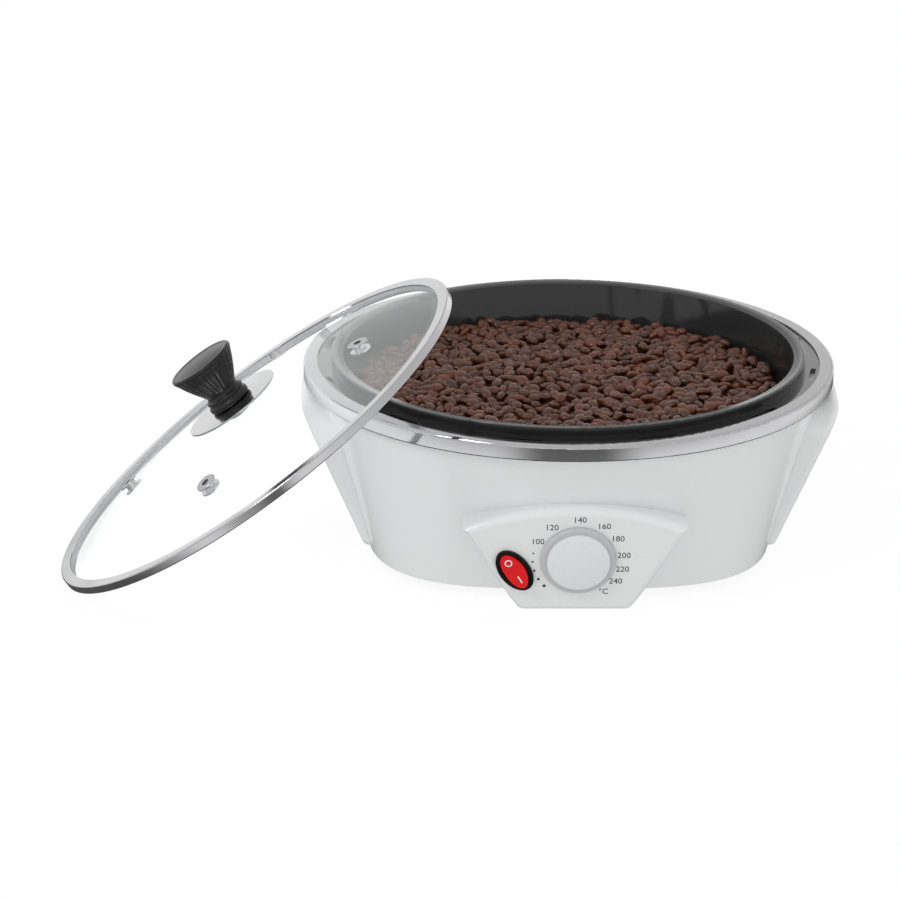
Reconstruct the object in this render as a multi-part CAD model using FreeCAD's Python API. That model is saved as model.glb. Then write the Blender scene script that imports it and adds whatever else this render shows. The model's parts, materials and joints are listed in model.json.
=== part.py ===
"""Home coffee bean roaster: a countertop roasting pan in a white moulded housing.

The housing is a round bowl that turns into a rounded square at its foot. It carries a steel trim
ring, a black roasting pan with a charge of beans, a control panel with a dial and a rocker switch,
and two side grips. A loose glass lid leans against the left of the ring. All sizes are in
millimetres. The origin lies on the table under the pan's axis, the panel faces -Y and Z is up.
"""
import FreeCAD, Part
import math
import os

V = FreeCAD.Vector
Y_AXIS = V(0, 1, 0)
Z_AXIS = V(0, 0, 1)

# Clearances between pieces
FIT_GAP = 0.05          # running fit of a shaft in its bush, on the radius
LOOSE_GAP = 0.4         # between pieces that move past each other
SEAT_GAP = 0.3          # between pieces that are placed by hand

# Trim ring
RING_R = 155.0
RING_TOP_Z = 103.0
RING_FLANGE_W = 8.0
RING_DEPTH = 9.0
RING_SHEET = 1.0
RING_EDGE_R = 1.6

# Housing shell
NECK_R = 151.5
NECK_STEP = 0.4             # the bowl ends this much inside the neck
BODY_BASE_Z = 4.6
BODY_BASE_HALF = 118.0      # half width over the flats at the foot
BODY_BASE_POWER = 3.3       # how square the foot is: 2 is a circle
HOUSING_WALL = 2.6
LEDGE_T = 2.0
OUTLINE_POINTS = 48

# Seat ring between trim ring and pan
SEAT_RING_IN_R = 134.8
SEAT_RING_DROP = 1.4        # its top lies this far under the top of the trim ring
SEAT_RING_T = 3.1
SLOT_COUNT = 12
SLOT_LENGTH = 22.0
SLOT_W = 3.0
SLOT_PITCH_R = 143.0
SLOT_FIRST_DEG = -12.0

# Pan
PAN_RIM_OUT_R = 138.5
PAN_RIM_IN_R = 131.8
PAN_RIM_RISE = 5.5          # rim above the top of the trim ring
PAN_RIM_DISH = 1.6          # the rim's inner edge lies this much lower
PAN_FLOOR_R = 119.0
PAN_DEPTH = 60.0
PAN_WALL = 2.0
PAN_CORNER_R = 12.0
PAN_BOSS_R = 9.0
PAN_BOSS_H = 14.0

# Bean charge
BEAN_EDGE_Z = 84.0
BEAN_CROWN_Z = 90.0
BEAN_CAVITY_GAP = 3.0

# Stirrer and its drive
SHAFT_R = 4.0
SHAFT_TOP_Z = 70.0
BUSH_R = 6.0
BUSH_FLANGE_R = 9.0
BUSH_FLANGE_T = 1.5
HUB_R = 14.0
HUB_TOP_Z = 72.0
HUB_LIFT = 0.5              # above the pan's floor
ARM_REACH = 106.0
ARM_T = 2.6
ARM_H = 13.0
ARM_BOW = 14.0
ARM_LIFT = 1.0

# Heater, reflector and motor
HEATER_R = 82.0
HEATER_TUBE_R = 3.3
HEATER_TURN_DEG = 330.0
HEATER_LEG = 14.0
REFLECTOR_R = 104.0
REFLECTOR_T = 0.8
REFLECTOR_LIP = 4.0
REFLECTOR_GAP = 12.0        # from the pan's underside to the top of the reflector
POST_R = 4.0
POST_PITCH_R = 55.0
BRACKET_L = 130.0
BRACKET_W = 36.0
BRACKET_T = 1.5
MOTOR_R = 25.0
MOTOR_H = 20.0
MOTOR_BOSS_R = 8.0
MOTOR_BORE_DEPTH = 8.0

# Base plate and feet
BASE_PLATE_T = 2.0
FOOT_R = 9.0
FOOT_TIP_R = 8.0
FOOT_PITCH_R = 112.0
SCREW_POST_R = 6.0
SCREW_POST_PITCH_R = 131.0
SCREW_POST_H = 18.0
VENT_ROWS = 5
VENT_PITCH = 12.0
VENT_W = 4.0
VENT_L = 60.0
VENT_OFFSET = 62.0

# Control panel
PANEL_TILT_DEG = 9.5
PANEL_FACE_Y = 144.0        # face of the panel at the height of the dial
PANEL_FOOT_Z = 0.4
PANEL_FOOT_HALF = 30.5
PANEL_WAIST_HALF = 36.0
PANEL_WAIST_Z = 8.0
PANEL_BROW_HALF = 62.0
PANEL_BROW_END_Z = 52.0
PANEL_BROW_Z = 65.0
PANEL_EDGE_R = 4.0
PANEL_FOOT_CORNER_R = 5.0
PANEL_BACK_Y = 112.0

# Dial
DIAL_X = 1.5
DIAL_Z = 33.0
DIAL_SKIRT_R = 20.8
DIAL_SKIRT_T = 2.4
DIAL_CAP_R = 17.3
DIAL_CAP_EDGE = 1.0
DIAL_CAP_RISE = 3.6
DIAL_SHAFT_R = 3.0
THERMOSTAT_R = 15.0
THERMOSTAT_T = 17.0
DIAL_SHAFT_L = 9.0

# Rocker switch
SWITCH_U = -33.5
SWITCH_V = -6.5
SWITCH_TURN_DEG = -56.0
BEZEL_HALF_L = 14.0
BEZEL_HALF_W = 8.5
BEZEL_T = 1.6
SWITCH_BODY_MARGIN = 1.3
SWITCH_BODY_T = 16.0
SWITCH_POCKET_MARGIN = 1.9
SWITCH_POCKET_DEPTH = 6.0
ROCKER_MARGIN = 2.8
ROCKER_THICK = 6.0
ROCKER_SKIRT = 1.6
ROCKER_PROUD = 3.4
ROCKER_TILT_DEG = 7.0
ROCKER_PIVOT_W = -1.0

# Side grips
GRIP_HALF = 62.0
GRIP_FOOT_Z = 7.0
GRIP_TOP_Z = 91.0
GRIP_CORNER_R = 16.0
GRIP_FOOT_CORNER_R = 5.5
GRIP_FOOT_X = 118.0         # face of the grip at its foot
GRIP_LEAN = 0.43            # outward run of its face for each millimetre of height
GRIP_BULGE = 4.0
GRIP_ARC_REACH = 1.2        # the face is drawn this many times wider than the grip
GRIP_BLANK_L = 200.0
GRIP_EDGE_R = 4.0
GRIP_SLOT_HALF = 44.0
GRIP_SLOT_TOP_Z = 62.0
GRIP_SLOT_CORNER_R = 10.0
RECESS_HALF = 42.0
RECESS_BOTTOM_Z = 44.0
RECESS_TOP_Z = 84.0
RECESS_FLOOR_X = 134.0      # flat inner face of the recess, just clear of the pan

# Power inlet at the back
GLAND_R = 8.0
GLAND_FLANGE_R = 11.0
GLAND_FLANGE_T = 2.0
GLAND_Z = 24.0
GLAND_DEPTH = 14.0
TERMINAL_L = 34.0
TERMINAL_W = 16.0
TERMINAL_H = 12.0
TERMINAL_Y = 78.0

# Lid
LID_R = 136.0
LID_RIM_H = 5.0
LID_RIM_SHEET = 0.8
LID_RIM_W = 6.5
LID_GLASS_T = 3.2
LID_FLAT_W = 11.0           # flat edge of the glass, under and inside the rim
LID_DOME_RISE = 20.0
LID_LEAN_DEG = 35.55
LID_SIDE_DEG = 180.2
LID_SHIFT = 70.6
LID_FLOOR_GAP = 0.3
LID_RING_DIP = 5.5          # the trim ring reaches this far up into the lid's hollow
VENT_COUNT = 4
VENT_PITCH_R = 84.0
VENT_FIRST_DEG = -12.0
VENT_HOLE_R = 2.2
VENT_BODY_R = 3.4
VENT_FLANGE_R = 6.0
VENT_FLANGE_T = 0.9
KNOB_FLANGE_R = 29.0
KNOB_FLANGE_T = 1.0
KNOB_FLANGE_GAP = 0.1       # to the glass under the middle of the dish
KNOB_FOOT_R = 13.0
KNOB_NECK_R = 9.0
KNOB_TOP_R = 20.0
KNOB_H = 29.0
KNOB_SCREW_R = 2.5
KNOB_SCREW_HEAD_R = 7.0
KNOB_WASHER_R = 12.0
KNOB_WASHER_T = 1.5

# Heights that follow from the sizes above
RING_BOTTOM_Z = RING_TOP_Z - RING_DEPTH
NECK_TOP_Z = RING_TOP_Z - RING_SHEET
WALL_TOP_Z = RING_BOTTOM_Z - 1.0
RING_FLANGE_IN_R = RING_R - RING_FLANGE_W
SEAT_RING_TOP_Z = RING_TOP_Z - SEAT_RING_DROP
LEDGE_TOP_Z = SEAT_RING_TOP_Z - SEAT_RING_T
PAN_RIM_TOP_Z = RING_TOP_Z + PAN_RIM_RISE
PAN_FLOOR_Z = PAN_RIM_TOP_Z - PAN_DEPTH
PAN_UNDER_Z = PAN_FLOOR_Z - PAN_WALL
BOSS_TOP_Z = PAN_FLOOR_Z + PAN_BOSS_H
REFLECTOR_TOP_Z = PAN_UNDER_Z - REFLECTOR_GAP
BRACKET_TOP_Z = REFLECTOR_TOP_Z - REFLECTOR_T
MOTOR_TOP_Z = BRACKET_TOP_Z - BRACKET_T
MOTOR_BOSS_TOP_Z = REFLECTOR_TOP_Z + 1.0
BASE_PLATE_TOP_Z = BODY_BASE_Z + BASE_PLATE_T
ARM_Z = PAN_FLOOR_Z + ARM_LIFT
LID_FLAT_IN_R = LID_R - LID_FLAT_W


def fillet_point(corner, before, after, radius):
    """Tangent points and middle point of the arc that rounds one corner."""
    to_before = (before - corner).normalize()
    to_after = (after - corner).normalize()
    half = to_before.getAngle(to_after) / 2.0
    run = radius / math.tan(half)
    middle = (to_before + to_after).normalize() * (radius / math.sin(half) - radius)
    return corner + to_before * run, corner + middle, corner + to_after * run


def outline(points, place):
    """Closed wire through (a, b, corner radius) points; place(a, b) gives the point in space."""
    corners = [place(a, b) for a, b, radius in points]
    entries = []
    for index, (a, b, radius) in enumerate(points):
        corner = corners[index]
        if radius > 0:
            after = corners[(index + 1) % len(corners)]
            entries.append(fillet_point(corner, corners[index - 1], after, radius))
        else:
            entries.append((corner, None, corner))
    edges = []
    for index, (start, middle, end) in enumerate(entries):
        if middle is not None:
            edges.append(Part.Arc(start, middle, end).toShape())
        following = entries[(index + 1) % len(entries)][0]
        if end.distanceToPoint(following) > 1e-6:
            edges.append(Part.LineSegment(end, following).toShape())
    return Part.Wire(edges)


def turned(points):
    """Solid of revolution about Z from (radius, height, corner radius) points."""
    face = Part.Face(outline(points, lambda r, z: V(r, 0, z)))
    return face.revolve(V(0, 0, 0), Z_AXIS, 360)


def disc(radius, z_low, z_high, centre=(0.0, 0.0)):
    """Plain cylinder between two heights."""
    return Part.makeCylinder(radius, z_high - z_low, V(centre[0], centre[1], z_low))


def centred_box(half_x, half_y, z_low, z_high, centre=(0.0, 0.0)):
    """Box by half sizes about a centre and its two heights."""
    corner = V(centre[0] - half_x, centre[1] - half_y, z_low)
    return Part.makeBox(2 * half_x, 2 * half_y, z_high - z_low, corner)


def polar(radius, degrees, z=0.0):
    """Point at a radius and an angle from +X."""
    angle = math.radians(degrees)
    return V(radius * math.cos(angle), radius * math.sin(angle), z)


def one_solid(shape):
    """The only solid of a boolean result, with split faces joined."""
    clean = shape.removeSplitter()
    return max(clean.Solids, key=lambda solid: solid.Volume)


def body_radius(angle, z, inset):
    """Radius of the housing at an angle and height: rounded square at the foot, circle at the top."""
    square = abs(math.cos(angle)) ** BODY_BASE_POWER + abs(math.sin(angle)) ** BODY_BASE_POWER
    foot = BODY_BASE_HALF * square ** (-1.0 / BODY_BASE_POWER)
    share = (z - BODY_BASE_Z) / (WALL_TOP_Z - BODY_BASE_Z)
    return foot + (NECK_R - NECK_STEP - foot) * share - inset


def body_outline(z, inset):
    """Closed smooth outline of the housing at one height."""
    points = []
    for index in range(OUTLINE_POINTS):
        angle = 2 * math.pi * (index + 0.5) / OUTLINE_POINTS
        radius = body_radius(angle, z, inset)
        points.append(V(radius * math.cos(angle), radius * math.sin(angle), z))
    curve = Part.BSplineCurve()
    curve.interpolate(Points=points, PeriodicFlag=True)
    return Part.Wire([curve.toShape()])


def body_loft(z_low, z_high, inset):
    """Straight-sided solid between the housing's outlines at two heights."""
    return Part.makeLoft([body_outline(z_low, inset), body_outline(z_high, inset)], True, True)


def panel_frame():
    """Placement whose axes are the panel's width, its rise and its outward normal, at the dial."""
    tilt = math.radians(PANEL_TILT_DEG)
    rise = V(0, -math.sin(tilt), math.cos(tilt))
    normal = V(0, -math.cos(tilt), -math.sin(tilt))
    matrix = FreeCAD.Matrix(1, rise.x, normal.x, 0,
                            0, rise.y, normal.y, -PANEL_FACE_Y,
                            0, rise.z, normal.z, DIAL_Z,
                            0, 0, 0, 1)
    return FreeCAD.Placement(matrix)


def on_panel(shape, u=0.0, v=0.0, turn=0.0):
    """Copy of a shape built about the local normal, set on the panel's face."""
    local = FreeCAD.Placement(V(u, v, 0), FreeCAD.Rotation(Z_AXIS, turn))
    placed = shape.copy()
    placed.Placement = panel_frame().multiply(local).multiply(placed.Placement)
    return placed


def panel_shield(inset):
    """Prism with the panel's shield outline, drawn in by an inset."""
    foot_half = PANEL_FOOT_HALF - inset
    waist_half = PANEL_WAIST_HALF - inset
    brow_half = PANEL_BROW_HALF - inset
    foot_z = PANEL_FOOT_Z + inset
    end_z = PANEL_BROW_END_Z - inset
    top_z = PANEL_BROW_Z - inset
    low_y = -PANEL_FACE_Y - 2 * DIAL_Z
    flat_half = foot_half - 2 * PANEL_FOOT_CORNER_R
    right = [(foot_half, foot_z), (waist_half, PANEL_WAIST_Z), (brow_half, end_z)]
    edges = []
    left_foot = V(-flat_half, low_y, foot_z)
    right_foot = V(flat_half, low_y, foot_z)
    edges.append(Part.LineSegment(left_foot, right_foot).toShape())
    ends = [V(a, low_y, b) for a, b in right]
    start, middle, end = fillet_point(ends[0], right_foot, ends[1], PANEL_FOOT_CORNER_R)
    edges.append(Part.LineSegment(right_foot, start).toShape())
    edges.append(Part.Arc(start, middle, end).toShape())
    edges.append(Part.LineSegment(end, ends[1]).toShape())
    edges.append(Part.LineSegment(ends[1], ends[2]).toShape())
    mirrored = [V(-p.x, p.y, p.z) for p in (start, middle, end)]
    left_ends = [V(-p.x, p.y, p.z) for p in ends]
    edges.append(Part.Arc(ends[2], V(0, low_y, top_z), left_ends[2]).toShape())
    edges.append(Part.LineSegment(left_ends[2], left_ends[1]).toShape())
    edges.append(Part.LineSegment(left_ends[1], mirrored[2]).toShape())
    edges.append(Part.Arc(mirrored[2], mirrored[1], mirrored[0]).toShape())
    edges.append(Part.LineSegment(mirrored[0], left_foot).toShape())
    face = Part.Face(Part.Wire(edges))
    return face.extrude(V(0, -low_y - PANEL_BACK_Y, 0))


def behind_panel_face(depth):
    """Block that fills the space behind the panel's face, moved in by a depth."""
    side = 4 * PANEL_FACE_Y
    block = Part.makeBox(side, side, side, V(-side / 2, -side / 2, -side - depth))
    return on_panel(block)


def panel_box():
    """Outer form of the moulded panel with its rounded front edge."""
    block = panel_shield(0).common(behind_panel_face(0))
    plane = panel_frame()
    normal = plane.Rotation.multVec(Z_AXIS)
    front = []
    for edge in block.Edges:
        middle = edge.valueAt((edge.FirstParameter + edge.LastParameter) / 2.0)
        if abs((middle - plane.Base).dot(normal)) < 1e-4:
            front.append(edge)
    return block.makeFillet(PANEL_EDGE_R, front)


def panel_hollow():
    """Space inside the panel box."""
    return panel_shield(HOUSING_WALL).common(behind_panel_face(HOUSING_WALL))


def recess(side, margin):
    """Finger recess behind a side grip, grown by a margin; side is 1 for right and -1 for left."""
    deep_x = RECESS_FLOOR_X - margin
    half = RECESS_HALF + margin
    low = RECESS_BOTTOM_Z - margin
    high = RECESS_TOP_Z + margin
    block = Part.makeBox(RING_R - deep_x, 2 * half, high - low, V(deep_x, -half, low))
    if side < 0:
        block.rotate(V(0, 0, 0), Z_AXIS, 180)
    return block


def housing_outer():
    """Housing as if it were full: bowl, neck and panel box, less the finger recesses."""
    bowl = body_loft(BODY_BASE_Z, WALL_TOP_Z, 0).fuse(disc(NECK_R, WALL_TOP_Z, NECK_TOP_Z))
    full = bowl.fuse(panel_box())
    for side in (1, -1):
        full = full.cut(recess(side, 0))
    return full


def housing_hollow():
    """Space inside the housing, which stays clear of the walls round the finger recesses."""
    inner = body_loft(BODY_BASE_Z - 1.0, WALL_TOP_Z, HOUSING_WALL)
    inner = inner.fuse(disc(NECK_R - HOUSING_WALL, WALL_TOP_Z, NECK_TOP_Z + 1.0))
    for side in (1, -1):
        inner = inner.cut(recess(side, HOUSING_WALL))
    return inner.fuse(panel_hollow())


def screw_posts():
    """Four posts inside the housing that take the base plate's screws."""
    posts = []
    for degrees in (45, 135, 225, 315):
        centre = polar(SCREW_POST_PITCH_R, degrees)
        top = BASE_PLATE_TOP_Z + SCREW_POST_H
        posts.append(disc(SCREW_POST_R, BASE_PLATE_TOP_Z, top, (centre.x, centre.y)))
    return posts


def housing():
    """White moulded shell with panel box, ledge, posts and the holes for dial, switch and gland."""
    outer = housing_outer()
    shell = outer.cut(housing_hollow())
    ledge = disc(NECK_R - HOUSING_WALL / 2, LEDGE_TOP_Z - LEDGE_T, LEDGE_TOP_Z)
    ledge = ledge.cut(disc(SEAT_RING_IN_R, LEDGE_TOP_Z - LEDGE_T - 1, LEDGE_TOP_Z + 1))
    shell = shell.fuse(ledge)
    for post in screw_posts():
        shell = shell.fuse(post.common(outer))
    shaft_hole = disc(DIAL_SHAFT_R + FIT_GAP, -3 * HOUSING_WALL, HOUSING_WALL)
    shell = shell.cut(on_panel(shaft_hole, DIAL_X))
    shell = shell.cut(switch_piece(switch_prism(SWITCH_BODY_MARGIN - 0.1, -4 * HOUSING_WALL, 1.0)))
    shell = shell.cut(gland_shaft(GLAND_R + 0.1))
    return one_solid(shell)


def trim_ring():
    """Steel ring: a flat top, a skirt and a rolled lower edge."""
    skirt_in = RING_R - RING_SHEET
    bead_in = NECK_R + SEAT_GAP
    return turned([(RING_FLANGE_IN_R, NECK_TOP_Z, 0),
                   (RING_FLANGE_IN_R, RING_TOP_Z, 0),
                   (RING_R, RING_TOP_Z, RING_EDGE_R),
                   (RING_R, RING_BOTTOM_Z, 0.8),
                   (bead_in, RING_BOTTOM_Z, 0),
                   (bead_in, RING_BOTTOM_Z + RING_SHEET, 0),
                   (skirt_in, RING_BOTTOM_Z + RING_SHEET, 0),
                   (skirt_in, NECK_TOP_Z, 0)])


def seat_ring():
    """Black ring that carries the pan's rim, with short slots round it."""
    outer_r = NECK_R - HOUSING_WALL - 0.2
    ring = disc(outer_r, LEDGE_TOP_Z, SEAT_RING_TOP_Z)
    ring = ring.cut(disc(SEAT_RING_IN_R, LEDGE_TOP_Z - 1, SEAT_RING_TOP_Z + 1))
    for index in range(SLOT_COUNT):
        slot = centred_box(SLOT_W / 2, SLOT_LENGTH / 2, LEDGE_TOP_Z - 1, SEAT_RING_TOP_Z + 1)
        slot.translate(V(SLOT_PITCH_R, 0, 0))
        slot.rotate(V(0, 0, 0), Z_AXIS, SLOT_FIRST_DEG + 360.0 * index / SLOT_COUNT)
        ring = ring.cut(slot)
    return one_solid(ring)


def pan():
    """Black roasting pan with a raised rim and a tube in its floor for the drive shaft."""
    wall_foot = PAN_FLOOR_R + PAN_WALL
    inner_top_z = PAN_RIM_TOP_Z - PAN_RIM_DISH
    return turned([(BUSH_R, PAN_UNDER_Z, 0),
                   (BUSH_R, BOSS_TOP_Z, 0),
                   (PAN_BOSS_R, BOSS_TOP_Z, 0),
                   (PAN_BOSS_R, PAN_FLOOR_Z, 0),
                   (PAN_FLOOR_R, PAN_FLOOR_Z, PAN_CORNER_R),
                   (PAN_RIM_IN_R, inner_top_z, 0.6),
                   (PAN_RIM_OUT_R, PAN_RIM_TOP_Z, 1.2),
                   (PAN_RIM_OUT_R, SEAT_RING_TOP_Z, 0),
                   (PAN_RIM_IN_R + PAN_WALL, SEAT_RING_TOP_Z, 0),
                   (wall_foot, PAN_UNDER_Z, PAN_CORNER_R + PAN_WALL)])


def pan_inner_radius(z):
    """Inner radius of the pan's wall at a height above its corner."""
    share = (z - PAN_FLOOR_Z) / (PAN_RIM_TOP_Z - PAN_RIM_DISH - PAN_FLOOR_Z)
    return PAN_FLOOR_R + (PAN_RIM_IN_R - PAN_FLOOR_R) * share


def bean_charge():
    """The beans as one heap with a crowned top, hollow underneath where the stirrer sweeps."""
    sweep_r = ARM_REACH + BEAN_CAVITY_GAP
    sweep_z = ARM_Z + ARM_H + BEAN_CAVITY_GAP
    hub_r = HUB_R + BEAN_CAVITY_GAP
    hub_z = HUB_TOP_Z + BEAN_CAVITY_GAP
    edge_r = pan_inner_radius(BEAN_EDGE_Z) - SEAT_GAP
    floor_z = PAN_FLOOR_Z + SEAT_GAP
    heap = turned([(sweep_r, floor_z, 0),
                   (PAN_FLOOR_R - SEAT_GAP, floor_z, PAN_CORNER_R - 1),
                   (edge_r, BEAN_EDGE_Z, 5.0),
                   (edge_r * 0.6, BEAN_CROWN_Z - 1.5, 90.0),
                   (0, BEAN_CROWN_Z, 0),
                   (0, hub_z, 0),
                   (hub_r, hub_z, 0),
                   (hub_r, sweep_z, 0),
                   (sweep_r, sweep_z, 3.0)])
    return heap


def shaft_bush():
    """Bronze bush in the pan's tube, with a flange under the pan."""
    bore = SHAFT_R + FIT_GAP
    return turned([(bore, PAN_UNDER_Z - BUSH_FLANGE_T, 0),
                   (BUSH_FLANGE_R, PAN_UNDER_Z - BUSH_FLANGE_T, 0),
                   (BUSH_FLANGE_R, PAN_UNDER_Z, 0),
                   (BUSH_R, PAN_UNDER_Z, 0),
                   (BUSH_R, BOSS_TOP_Z, 0),
                   (bore, BOSS_TOP_Z, 0)])


def motor_bore_floor():
    """Height of the bottom of the gear motor's blind bore."""
    return MOTOR_BOSS_TOP_Z - MOTOR_BORE_DEPTH


def drive_shaft():
    """Shaft from the gear motor up into the stirrer's hub."""
    return disc(SHAFT_R, motor_bore_floor() + LOOSE_GAP, SHAFT_TOP_Z)


def stirrer_hub():
    """Cap over the pan's tube that grips the shaft's top end."""
    cavity_r = PAN_BOSS_R + 1.0
    cavity_z = BOSS_TOP_Z + 1.5
    body = turned([(0, PAN_FLOOR_Z + HUB_LIFT, 0),
                   (HUB_R, PAN_FLOOR_Z + HUB_LIFT, 0),
                   (HUB_R, HUB_TOP_Z, 3.0),
                   (0, HUB_TOP_Z, 0)])
    body = body.cut(disc(cavity_r, PAN_FLOOR_Z - 1, cavity_z))
    return one_solid(body.cut(disc(SHAFT_R, cavity_z - 1, SHAFT_TOP_Z)))


def stirrer_arm(turn):
    """One bowed blade from the hub outwards."""
    start_r = HUB_R - 2.0
    middle_r = (start_r + ARM_REACH) / 2.0
    near = [V(start_r, 0, ARM_Z), V(middle_r, ARM_BOW, ARM_Z), V(ARM_REACH, 0, ARM_Z)]
    far = [point + V(0, ARM_T, 0) for point in near]
    edges = [Part.Arc(near[0], near[1], near[2]).toShape(),
             Part.LineSegment(near[2], far[2]).toShape(),
             Part.Arc(far[2], far[1], far[0]).toShape(),
             Part.LineSegment(far[0], near[0]).toShape()]
    blade = Part.Face(Part.Wire(edges)).extrude(V(0, 0, ARM_H))
    blade = blade.cut(disc(HUB_R, ARM_Z - 1, ARM_Z + ARM_H + 1))
    blade.rotate(V(0, 0, 0), Z_AXIS, turn)
    return one_solid(blade)


def heating_element():
    """Round tubular heater under the pan with its two ends turned down at the back."""
    centre_z = PAN_UNDER_Z - HEATER_TUBE_R
    ring = Part.makeTorus(HEATER_R, HEATER_TUBE_R, V(0, 0, centre_z), Z_AXIS, 0, 360, HEATER_TURN_DEG)
    open_half = (360.0 - HEATER_TURN_DEG) / 2.0
    ring.rotate(V(0, 0, 0), Z_AXIS, 90 + open_half)
    for degrees in (90 - open_half, 90 + open_half):
        end = polar(HEATER_R, degrees, centre_z)
        ring = ring.fuse(Part.makeSphere(HEATER_TUBE_R, end))
        leg = disc(HEATER_TUBE_R, centre_z - HEATER_LEG, centre_z, (end.x, end.y))
        ring = ring.fuse(leg)
    return one_solid(ring)


def heat_reflector():
    """Thin dish under the heater with a turned-up lip and its holes."""
    low_z = REFLECTOR_TOP_Z - REFLECTOR_T
    lip_in = REFLECTOR_R - REFLECTOR_T
    dish = turned([(MOTOR_BOSS_R + 1.0, low_z, 0),
                   (REFLECTOR_R, low_z, 1.5),
                   (REFLECTOR_R, REFLECTOR_TOP_Z + REFLECTOR_LIP, 0),
                   (lip_in, REFLECTOR_TOP_Z + REFLECTOR_LIP, 0),
                   (lip_in, REFLECTOR_TOP_Z, 0),
                   (MOTOR_BOSS_R + 1.0, REFLECTOR_TOP_Z, 0)])
    open_half = (360.0 - HEATER_TURN_DEG) / 2.0
    for degrees in (90 - open_half, 90 + open_half):
        end = polar(HEATER_R, degrees)
        dish = dish.cut(disc(HEATER_TUBE_R + 1.0, low_z - 1, REFLECTOR_TOP_Z + 1, (end.x, end.y)))
    return one_solid(dish)


def reflector_posts():
    """Three posts that hang the reflector from the pan's underside."""
    posts = []
    for degrees in (30, 150, 270):
        centre = polar(POST_PITCH_R, degrees)
        posts.append(disc(POST_R, REFLECTOR_TOP_Z, PAN_UNDER_Z, (centre.x, centre.y)))
    return Part.makeCompound(posts)


def motor_bracket():
    """Steel strap under the reflector that carries the gear motor."""
    strap = centred_box(BRACKET_L / 2, BRACKET_W / 2, MOTOR_TOP_Z, BRACKET_TOP_Z)
    return one_solid(strap.cut(disc(MOTOR_BOSS_R + 1.0, MOTOR_TOP_Z - 1, BRACKET_TOP_Z + 1)))


def gear_motor():
    """Closed gear motor with a boss on top and a blind bore for the drive shaft."""
    can = disc(MOTOR_R, MOTOR_TOP_Z - MOTOR_H, MOTOR_TOP_Z)
    can = can.fuse(disc(MOTOR_BOSS_R, MOTOR_TOP_Z, MOTOR_BOSS_TOP_Z))
    bore = disc(SHAFT_R + FIT_GAP, motor_bore_floor(), MOTOR_BOSS_TOP_Z + 1)
    return one_solid(can.cut(bore))


def base_plate():
    """Flat cover that closes the housing from below, with two banks of air slots."""
    inset = HOUSING_WALL + SEAT_GAP
    plate = body_loft(BODY_BASE_Z, BASE_PLATE_TOP_Z, inset)
    for side in (1, -1):
        for row in range(VENT_ROWS):
            x = side * (VENT_OFFSET + VENT_PITCH * (row - (VENT_ROWS - 1) / 2.0))
            slot = centred_box(VENT_W / 2, VENT_L / 2, BODY_BASE_Z - 1, BASE_PLATE_TOP_Z + 1, (x, 0))
            plate = plate.cut(slot)
    return one_solid(plate)


def rubber_foot(degrees):
    """Round foot under the base plate, a little smaller at the table."""
    foot = turned([(0, 0, 0),
                   (FOOT_TIP_R, 0, 0),
                   (FOOT_R, BODY_BASE_Z, 0),
                   (0, BODY_BASE_Z, 0)])
    foot.translate(polar(FOOT_PITCH_R, degrees))
    return foot


def gland_shaft(radius):
    """Cylinder along Y through the back wall at the gland's place."""
    wall_y = body_radius(math.pi / 2, GLAND_Z, 0)
    return Part.makeCylinder(radius, 3 * GLAND_DEPTH, V(0, wall_y - GLAND_DEPTH, GLAND_Z), Y_AXIS)


def power_gland():
    """Bush in the back wall where a mains lead would enter, closed inside."""
    outer_y = body_radius(math.pi / 2, GLAND_Z + GLAND_FLANGE_R, 0) + SEAT_GAP
    inner_y = body_radius(math.pi / 2, GLAND_Z, 0) - GLAND_DEPTH
    stem = Part.makeCylinder(GLAND_R, outer_y - inner_y, V(0, inner_y, GLAND_Z), Y_AXIS)
    flange = Part.makeCylinder(GLAND_FLANGE_R, GLAND_FLANGE_T, V(0, outer_y, GLAND_Z), Y_AXIS)
    bore = Part.makeCylinder(GLAND_R / 2, GLAND_DEPTH, V(0, outer_y - GLAND_DEPTH / 2, GLAND_Z), Y_AXIS)
    return one_solid(stem.fuse(flange).cut(bore))


def terminal_block():
    """Block on the base plate where the leads meet."""
    top = BASE_PLATE_TOP_Z + TERMINAL_H
    return centred_box(TERMINAL_L / 2, TERMINAL_W / 2, BASE_PLATE_TOP_Z, top, (0, TERMINAL_Y))


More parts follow.
